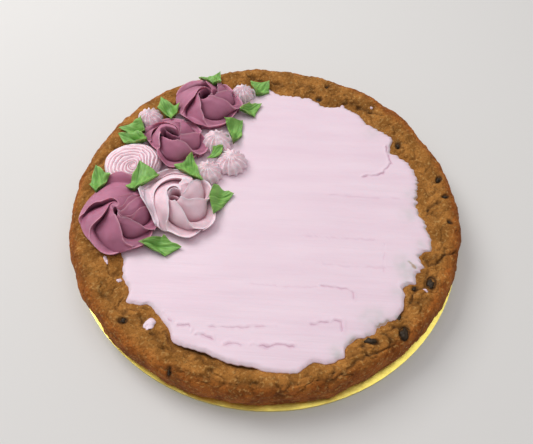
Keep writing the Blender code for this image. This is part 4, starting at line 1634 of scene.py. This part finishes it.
@dataclass
class PipedLeaf:
    """A piped leaf: a thin blade with two side points, a crease down its middle and its tip drawn out.

    Left and right are as seen from the base towards the tip, and each side point stands at its own station, a
    share of the length.
    """

    node: str
    base: Spot
    left: Spot
    tip: Spot
    right: Spot
    lift: float = 1.0
    stations: Spot = (0.25, 0.25)
    cream: Buttercream = GREEN
    waist: float = 0.06
    thickness: float = 2.3
    rows: int = 60
    top_columns: int = 41
    under_columns: int = 13

    def edge(self, corner: Spot, station: float, along: Array) -> tuple[Array, Array]:
        """Draws one edge of the blade, from the base round the side point and in a shallow hollow to the tip.

        Args:
            corner: The side point.
            station: The side point's share of the length.
            along: The stations to draw.

        Returns:
            The edge's x and y.
        """
        middle = 0.5 * (1 + station)
        late = 0.86
        found = []
        for axis in (0, 1):
            base, side, tip = self.base[axis], corner[axis], self.tip[axis]
            line = (
                (0.0, base + 0.5 * (side - base)),
                (0.5 * station, base + 0.92 * (side - base)),
                (station, side),
                (middle, 0.5 * (side + tip) + self.waist * (base + middle * (tip - base) - 0.5 * (side + tip))),
                (late, 0.2 * side + 0.8 * tip),
                (1.0, tip),
            )
            stations, values = np.array(line).T
            bends = (-0.05, -0.025, 0.0, 0.025, 0.05)
            edge = np.mean([np.interp(np.clip(along + bend, 0, 1), stations, values) for bend in bends], axis=0)
            found.append(edge + (tip - edge) * eased(along, 0.9, 1.0))
        return found[0], found[1]

    def surface(self, ground: HeightField) -> Skin:
        """Shapes the blade as a tube of flat sections from its base to its tip.

        Each section runs over the top from the right edge to the left and back beneath. It follows a smooth cloak
        over the food, with a crease along its middle, ruffles that grow towards the edges, and fine veins.

        Args:
            ground: The height field.

        Returns:
            The closed skin with its lip, hollow and flow facts.
        """
        along = np.linspace(0, 1, self.rows)[:, None]
        over = np.linspace(-1, 1, self.top_columns)
        beneath = np.linspace(1, -1, self.under_columns + 2)[1:-1]
        across = np.concatenate([over, beneath])[None, :]
        on_top = (np.arange(across.shape[1]) < self.top_columns)[None, :]
        spine_x = self.base[0] + (self.tip[0] - self.base[0]) * along
        spine_y = self.base[1] + (self.tip[1] - self.base[1]) * along
        left_x, left_y = self.edge(self.left, self.stations[0], along)
        right_x, right_y = self.edge(self.right, self.stations[1], along)
        edge_x = np.where(across > 0, left_x, right_x)
        edge_y = np.where(across > 0, left_y, right_y)
        phase = sum(map(ord, self.node)) * 1.7
        wave = np.sin(2 * math.pi * 2.4 * along + phase + 1.1 * np.sign(across))
        reach = np.abs(across) * (1 + 0.06 * wave * np.abs(across))
        x = spine_x + (edge_x - spine_x) * reach
        y = spine_y + (edge_y - spine_y) * reach
        half = np.hypot(edge_x - spine_x, edge_y - spine_y)
        fullness = np.clip(half / 6.0, 0, 1.2)
        cloak = ground.cloak(0.75, 1.5)
        bed = ground.read(cloak, x, y)
        spine_bed = ground.read(cloak, spine_x, spine_y)
        bed = 0.45 * bed + 0.55 * np.maximum(bed, spine_bed - 0.5)
        crease = -0.8 * bell(across * half, 1.0) * fullness
        cup = (0.5 * np.abs(across) ** 1.5 - 0.9 * np.abs(across) ** 8) * fullness
        ruffle = 0.5 * wave * np.abs(across) ** 1.6 * fullness
        length = math.hypot(self.tip[0] - self.base[0], self.tip[1] - self.base[1])
        drawn = np.stack([across * half / 1.3, along * length / 7 + 0 * half, phase + 0 * half], axis=-1)
        vein = lump_noise(drawn, 1.0, 52) + 0.5 * lump_noise(drawn, 0.5, 53)
        veins = 0.3 * vein * np.minimum(fullness * 2, 1)
        top = bed + 1.5 + crease + cup + ruffle + veins + self.lift * along**2.5
        blade = np.stack([x + 0 * top, y + 0 * top, top], axis=-1)
        top = top + 0.25 * lump_noise(blade, np.array([4.0, 4.0, 40.0]), 51)
        thick = self.thickness * (1 - across**8) ** 0.5 * np.clip(fullness * 1.6, 0.25, 1) + 0.2
        height = np.where(on_top, top, top - thick)
        grid = np.stack([x + 0 * height, y + 0 * height, height], axis=-1)
        grid[0] = grid[0].mean(axis=0)
        grid[-1] = grid[-1].mean(axis=0)
        # Painted highlight on the edges, the raised veins and the ruffles' crests, and painted shade in the middle
        # crease, the ruffles' troughs and beneath
        edge = np.abs(across) ** 8
        lip = np.clip(0.3 * edge + 0.5 * vein + 0.25 * wave * np.abs(across), 0, 1) * on_top + 0 * height
        hollow = 0.4 * bell(across * half, 0.7) + 0.3 * (1 - eased(wave, -1, 0.4)) * np.abs(across) - 0.5 * vein
        hollow = np.clip(hollow + 0.8 * (1 - on_top), 0, 1) + 0 * height
        flow = np.stack([across * 6.0 + 0 * height, along * length + 0 * height, 0 * height + phase], axis=-1)
        return Skin(grid, {"lip": lip, "hollow": hollow, "flow": flow})

    def build(self, ground: HeightField, material: bpy.types.Material) -> None:
        """Makes the leaf, and covers the height field with it."""
        skin = self.surface(ground)
        ground.cover(skin.grid)
        enter(make_piece("piped_" + self.node, [skin]), material, self.node)


@dataclass
class CakeBoard:
    """The round foil board, which keeps its CAD shape."""

    node: str = "board"
    finish: GoldFoil = GoldFoil()

    def build(self, frame: dict) -> None:
        """Dresses the board's CAD node in gold foil."""
        board = frame["nodes"][self.node]
        material = self.finish.make()
        if board.data.materials:
            board.data.materials[0] = material
        else:
            board.data.materials.append(material)
        log.info("%s: dressed", self.node)


FOLDED = 0.12


def rear_rose() -> PipedRose:
    """Describes the mauve rose at the rear, with one broad smooth petal round its left side."""
    lips = (
        Lip((
            (0.05, -150), (0.1, -90), (0.2, -45), (0.28, -22), (0.32, -8), (0.35, 10), (0.39, 25), (0.5, 50), (0.62, 60),
            (0.75, 66), (1.0, 75),
        )),
        Lip(((0.05, -100), (0.1, -40), (0.14, 20), (0.24, 72), (0.35, 85), (0.5, 90), (0.7, 97), (1.0, 106)), 0.5),
        Lip((
            (0.05, -20), (0.1, 30), (0.15, 80), (0.2, 125), (0.25, 155), (0.34, 188), (0.46, 204), (0.62, 209),
            (0.76, 210.5), (0.84, 214), (0.9, 224), (0.95, 232), (1.0, 242),
        ), 0.35, deep=1.15),
        Lip((
            (0.05, 70), (0.1, 115), (0.15, 150), (0.2, 172), (0.31, 202), (0.38, 230), (0.49, 247), (0.6, 254),
            (0.7, 264), (0.83, 273), (0.93, 279), (1.0, 283),
        )),
        Lip((
            (0.05, 160), (0.1, 215), (0.2, 270), (0.28, 303), (0.38, 317), (0.5, 330), (0.62, 338), (0.75, 343),
            (0.9, 348), (1.0, 355),
        )),
        Lip((
            (0.05, 200), (0.1, 255), (0.2, 305), (0.28, 333), (0.42, 358), (0.57, 377), (0.72, 390), (0.85, 398),
            (1.0, 408),
        )),
    )
    outline = (
        (20, 23), (46, 22.5), (70, 23.5), (110, 24.5), (125, 26.5), (147, 26.5), (160, 26.5), (174, 25), (193, 22.5),
        (216, 22), (239, 24), (256, 25), (279, 23.5), (305, 23.5), (330, 22.5), (346, 23.5), (358, 26),
    )
    hollows = (Hollow((-0.9, -1.0), 5.0, 4.1, 70, 9.0), Hollow((5.6, 0.6), 3.4, 1.6, 75, 6.0))
    return PipedRose("rose_mauve_rear", MAUVE, (-47.0, 75.0), 25.0, 16.5, lips, outline, hollows, 1)


def mid_rose() -> PipedRose:
    """Describes the mauve rose in the middle, with a wide eye shaped like a leaf."""
    lips = (
        Lip((
            (0.05, -150), (0.1, -100), (0.2, -50), (0.27, -25), (0.3, -15), (0.33, 8), (0.36, 28), (0.43, 48),
            (0.5, 58), (0.65, 68), (0.8, 76), (1.0, 86),
        )),
        Lip((
            (0.05, -110), (0.1, -60), (0.17, -20), (0.22, 10), (0.24, 45), (0.3, 75), (0.42, 100), (0.6, 117),
            (0.8, 127), (1.0, 140),
        ), 0.4),
        Lip((
            (0.1, 0), (0.2, 60), (0.3, 110), (0.45, 140), (0.6, 157), (0.66, 180), (0.7, 205), (0.76, 222), (0.85, 238),
            (1.0, 250),
        ), FOLDED, 0.42, deep=0.55),
        Lip((
            (0.05, -20), (0.1, 40), (0.2, 110), (0.3, 155), (0.38, 185), (0.45, 210), (0.55, 233), (0.7, 244),
            (0.8, 250), (0.9, 254), (1.0, 260),
        ), deep=1.1),
        Lip((
            (0.05, 100), (0.1, 150), (0.2, 235), (0.28, 275), (0.38, 297), (0.5, 315), (0.62, 322), (0.75, 328),
            (0.87, 333), (1.0, 337),
        )),
        Lip((
            (0.05, 150), (0.1, 210), (0.2, 285), (0.3, 325), (0.42, 345), (0.54, 358), (0.65, 372), (0.85, 387),
            (1.0, 400),
        )),
    )
    outline = (
        (30, 21.5), (84, 22), (117, 23), (139, 24), (157, 24.5), (172, 20.5), (187, 17), (205, 15), (232, 15), (250, 18),
        (263, 21), (280, 21.5), (299, 20.5), (318, 20), (334, 21.5), (344, 24.5),
    )
    hollows = (Hollow((-0.6, -1.0), 7.6, 4.3, -30, 9.5, 7.2, 0.02),)
    return PipedRose("rose_mauve_mid", MAUVE, (-66.0, 36.5), 23.0, 15.5, lips, outline, hollows, 2)


def front_rose() -> PipedRose:
    """Describes the mauve rose at the front, with a broad petal round its rear and left."""
    lips = (
        Lip((
            (0.05, -110), (0.1, -85), (0.15, -72), (0.2, -62), (0.28, -56), (0.32, -48), (0.34, -25), (0.37, 0),
            (0.46, 17), (0.56, 28), (0.7, 36), (0.85, 42), (1.0, 48),
        )),
        Lip((
            (0.05, -95), (0.1, -50), (0.15, -30), (0.2, -10), (0.25, 8), (0.3, 20), (0.38, 32), (0.5, 39), (0.7, 44),
            (0.85, 50), (1.0, 57),
        ), 0.5, 0.0, 0.6, 0.8),
        Lip((
            (0.05, -60), (0.1, 0), (0.15, 50), (0.2, 72), (0.25, 72), (0.3, 64), (0.42, 54), (0.5, 52), (0.62, 53),
            (0.8, 58), (1.0, 66),
        ), 0.5, 0.0, 0.7, 0.25),
        Lip((
            (0.05, 10), (0.1, 60), (0.15, 95), (0.2, 115), (0.25, 135), (0.3, 147), (0.4, 157), (0.5, 161), (0.6, 165),
            (0.7, 170), (0.8, 176), (0.9, 185), (1.0, 200),
        ), FOLDED, deep=1.15),
        Lip((
            (0.05, 100), (0.1, 150), (0.13, 185), (0.17, 210), (0.24, 219), (0.31, 222), (0.46, 224), (0.6, 223),
            (0.7, 222.5), (0.8, 226), (0.87, 231), (0.93, 238), (1.0, 250),
        ), 0.6),
        Lip((
            (0.05, 190), (0.1, 235), (0.15, 262), (0.2, 270), (0.31, 274), (0.44, 282), (0.58, 287), (0.7, 290),
            (0.81, 291.5), (0.88, 294), (0.95, 297), (1.05, 303),
        )),
        Lip((
            (0.05, 225), (0.1, 255), (0.2, 283), (0.3, 287), (0.38, 291), (0.45, 300), (0.5, 312), (0.64, 322),
            (0.74, 328), (0.84, 331.5), (0.95, 336), (1.05, 341),
        )),
        Lip((
            (0.05, 240), (0.1, 268), (0.2, 290), (0.3, 296), (0.4, 304), (0.46, 318), (0.53, 333), (0.56, 347),
            (0.62, 362), (0.75, 372), (1.0, 385),
        ), deep=0.7),
    )
    outline = (
        (20, 25), (60, 25.5), (86, 26), (95, 27.5), (110, 28), (123, 27), (145, 24.5), (167, 23.5), (188, 23.5),
        (210, 23), (235, 23.5), (260, 26.5), (273, 27.5), (291, 27), (305, 27.5), (327, 26.5), (341, 26),
    )
    hollows = (Hollow((1.4, -4.0), 3.2, 1.2, -68, 7.0), Hollow((4.6, 20.4), 1.2, 0.7, 20, 2.2))
    return PipedRose("rose_mauve_front", MAUVE, (-90.0, -24.0), 25.0, 16.0, lips, outline, hollows, 3)


def pink_rose() -> PipedRose:
    """Describes the pale pink rose, with two long lips round its left side."""
    lips = (
        Lip((
            (0.05, -150), (0.1, -105), (0.15, -60), (0.2, -38), (0.28, -10), (0.33, 10), (0.39, 28), (0.47, 38),
            (0.57, 44), (0.7, 49), (0.85, 54), (1.0, 60),
        )),
        Lip((
            (0.05, -60), (0.1, -20), (0.15, 30), (0.2, 58), (0.3, 52), (0.4, 46), (0.5, 49), (0.6, 56), (0.7, 70),
            (0.78, 90), (0.83, 115), (0.826, 140), (0.846, 165), (0.81, 185), (0.763, 210), (0.79, 230), (0.9, 248),
        ), FOLDED, 0.6, deep=0.5),
        Lip((
            (0.05, -45), (0.1, -5), (0.15, 45), (0.2, 76), (0.25, 75), (0.3, 66), (0.4, 59), (0.5, 60), (0.52, 70),
            (0.54, 90), (0.56, 120), (0.58, 150), (0.6, 178), (0.63, 202), (0.67, 219), (0.72, 229), (0.78, 238),
            (0.84, 246), (0.9, 254), (1.0, 260),
        ), FOLDED, 0.2),
        Lip((
            (0.05, -10), (0.1, 30), (0.15, 80), (0.19, 115), (0.22, 148), (0.235, 175), (0.25, 204), (0.3, 229),
            (0.4, 243), (0.52, 253), (0.64, 258), (0.77, 262), (0.86, 264.5), (0.93, 268), (0.99, 273), (1.05, 281),
        )),
        Lip((
            (0.05, 60), (0.1, 110), (0.13, 150), (0.15, 185), (0.17, 210), (0.24, 247), (0.3, 263), (0.37, 276),
            (0.47, 286), (0.575, 291), (0.67, 294.5), (0.76, 297.5), (0.83, 300.5), (0.9, 303), (0.96, 305),
            (1.0, 308), (1.1, 316),
        )),
        Lip((
            (0.05, 150), (0.1, 200), (0.15, 260), (0.2, 290), (0.26, 305), (0.36, 314), (0.45, 325), (0.52, 337),
            (0.63, 351), (0.77, 365), (0.85, 373), (0.95, 385),
        )),
    )
    outline = (
        (5, 22), (35, 23.5), (60, 24.5), (90, 24.5), (107, 26.5), (128, 24.5), (155, 23.5), (172, 23.5), (190, 21.5),
        (221, 19.5), (246, 22), (262, 22), (286, 26), (295, 27.5), (307, 27.5), (318, 28.5), (331, 28), (345, 25),
    )
    hollows = (Hollow((0.0, -2.3), 3.9, 4.2, -20, 9.0, 6.0),)
    return PipedRose("rose_pink", PALE, (-56.0, -12.0), 25.0, 16.5, lips, outline, hollows, 4)


def kisses() -> tuple[StarKiss, ...]:
    """Lists the five star kisses."""
    return (
        StarKiss("kiss_rear_left", (-85.5, 58.0), 9.2, 10.0, 12, 1.4, (-0.5, 1.0)),
        StarKiss("kiss_rear_right", (-23.0, 89.0), 8.4, 9.5, 12, 1.2, (0.2, 0.8)),
        StarKiss("kiss_upper", (-37.0, 40.0), 10.2, 11.0, 12, 1.8, (-0.8, 1.6)),
        StarKiss("kiss_right", (-25.8, 24.0), 10.8, 10.0, 14, 1.0, (-0.2, 0.6)),
        StarKiss("kiss_lower", (-39.7, 14.5), 9.6, 9.5, 12, 1.8, (-0.6, 0.8)),
    )


def leaves() -> tuple[PipedLeaf, ...]:
    """Lists the thirteen leaves, each by its base, left point, tip and right point."""
    return (
        PipedLeaf("leaf_01", (-43.5, 82.0), (-55.5, 95.5), (-41.5, 109.0), (-38.5, 90.0), 3.0, (0.4, 0.3)),
        PipedLeaf("leaf_02", (-70.0, 56.0), (-82.0, 66.0), (-82.0, 80.5), (-66.0, 69.0), 1.0, (0.4, 0.35)),
        PipedLeaf("leaf_03", (-86.0, 45.0), (-94.0, 40.5), (-106.0, 48.5), (-91.0, 55.0), 0.5, (0.35, 0.45)),
        PipedLeaf("leaf_04", (-82.0, 34.5), (-97.0, 31.0), (-105.0, 42.5), (-90.0, 44.0), 0.5, (0.6, 0.4)),
        PipedLeaf("leaf_05", (-106.0, -11.0), (-113.5, -2.0), (-113.5, 14.5), (-99.0, 1.0), 1.0, (0.35, 0.45)),
        PipedLeaf("leaf_06", (-81.0, -12.0), (-87.0, -9.0), (-82.5, 12.5), (-68.5, 4.5), 0.5, (0.15, 0.5)),
        PipedLeaf("leaf_07", (-49.0, 3.0), (-62.0, 14.5), (-51.5, 25.5), (-41.5, 2.5), 0.5, (0.4, 0.15)),
        PipedLeaf("leaf_08", (-31.5, 33.5), (-38.5, 31.5), (-41.5, 21.5), (-32.5, 25.5), 0.3, (0.45, 0.5)),
        PipedLeaf("leaf_09", (-26.0, 39.0), (-33.5, 60.0), (-21.0, 63.5), (-20.5, 49.0), 0.8, (0.78, 0.4)),
        PipedLeaf("leaf_10", (-24.5, 69.0), (-17.0, 80.0), (-8.5, 81.5), (-13.0, 68.0), 0.6, (0.45, 0.5)),
        PipedLeaf("leaf_11", (-13.5, 88.0), (-18.5, 103.5), (-4.0, 105.0), (-3.5, 93.5), 1.0, (0.55, 0.45)),
        PipedLeaf("leaf_12", (-75.0, -42.5), (-61.0, -36.0), (-49.5, -42.0), (-58.5, -48.5), 0.5, (0.45, 0.6)),
        PipedLeaf("leaf_13", (-37.0, -8.0), (-34.5, 4.5), (-22.0, -0.5), (-32.5, -21.0), 0.5, (0.2, 0.3)),
    )


@dataclass
class Studio:
    """The plain pale floor, the soft light and the camera at the photograph's viewing angle."""

    floor_tone: str = "#dedbd8"
    lens: float = 32.42
    sensor: float = 36.0
    elevation: float = 57.5
    roll: float = 3.3
    standing: tuple[float, float, float] = (-0.15, -179.9, 274.4)

    def floor(self) -> None:
        """Lays the floor under the board."""
        material, tree, shader = new_material("matt studio floor")
        shader.inputs["Base Color"].default_value = linear_colour(self.floor_tone)
        shader.inputs["Roughness"].default_value = 0.9
        mesh = bpy.data.meshes.new("floor")
        corner = 3.0
        mesh.from_pydata([(-corner, -corner, 0), (corner, -corner, 0), (corner, corner, 0), (-corner, corner, 0)], [], [(0, 1, 2, 3)])
        piece = bpy.data.objects.new("floor", mesh)
        piece.data.materials.append(material)
        bpy.context.scene.collection.objects.link(piece)

    def lamp(self, name: str, place: Spot | tuple[float, float, float], size: float, power: float) -> None:
        """Hangs one square soft light that faces the cake.

        Args:
            name: The lamp's name.
            place: Where it hangs, in metres.
            size: Its side, in metres.
            power: Its power, in watts.
        """
        light = bpy.data.lights.new(name, "AREA")
        light.size = size
        light.energy = power
        lamp = bpy.data.objects.new(name, light)
        lamp.location = place
        lamp.rotation_euler = (Vector((0, 0, 0.02)) - Vector(place)).to_track_quat("-Z", "Y").to_euler()
        bpy.context.scene.collection.objects.link(lamp)

    def camera(self) -> None:
        """Stands the camera, rolled a little about its line of sight."""
        lift = math.radians(self.elevation)
        roll = math.radians(self.roll)
        right = Vector((1, 0, 0))
        up = Vector((0, math.sin(lift), math.cos(lift)))
        back = Vector((0, -math.cos(lift), math.sin(lift)))
        rolled_right = right * math.cos(roll) + up * math.sin(roll)
        rolled_up = up * math.cos(roll) - right * math.sin(roll)
        data = bpy.data.cameras.new("camera")
        data.lens = self.lens
        data.sensor_width = self.sensor
        data.sensor_fit = "HORIZONTAL"
        data.clip_start = 0.01
        camera = bpy.data.objects.new("camera", data)
        turn = Matrix((rolled_right, rolled_up, back)).transposed().to_4x4()
        camera.matrix_world = Matrix.Translation(Vector(self.standing) * MM) @ turn
        bpy.context.scene.collection.objects.link(camera)
        bpy.context.scene.camera = camera

    def build(self) -> None:
        """Sets up the floor, the lights, the surrounding light and the camera."""
        self.floor()
        self.lamp("window", (-0.75, 0.55, 1.0), 0.7, 11.0)
        self.lamp("ceiling", (0.15, 0.2, 1.6), 1.6, 9.3)
        world = bpy.data.worlds.new("studio")
        world.use_nodes = True
        world.node_tree.nodes["Background"].inputs["Color"].default_value = linear_colour("#f3f4f6")
        world.node_tree.nodes["Background"].inputs["Strength"].default_value = 0.35
        bpy.context.scene.world = world
        bpy.context.scene.view_settings.view_transform = "Standard"
        self.camera()


def main() -> None:
    """Builds the cake from the board upwards, in the order in which it was made."""
    logging.basicConfig(level=logging.INFO, format="%(message)s")
    for item in list(bpy.data.objects):
        bpy.data.objects.remove(item, do_unlink=True)
    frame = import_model()
    Studio().build()
    CakeBoard().build(frame)
    ground = HeightField()
    BakedCrust().build(ground)
    SpreadIcing().build(ground)
    mauve = MAUVE.make()
    pale = PALE.make()
    green = GREEN.make()
    RibbedSwirl().build(ground, pale)
    mid_rose().build(ground, mauve)
    front_rose().build(ground, mauve)
    rear_rose().build(ground, mauve)
    pink_rose().build(ground, pale)
    for kiss in kisses():
        kiss.build(ground, pale)
    for leaf in leaves():
        leaf.build(ground, green)


if __name__ == "__main__":
    main()
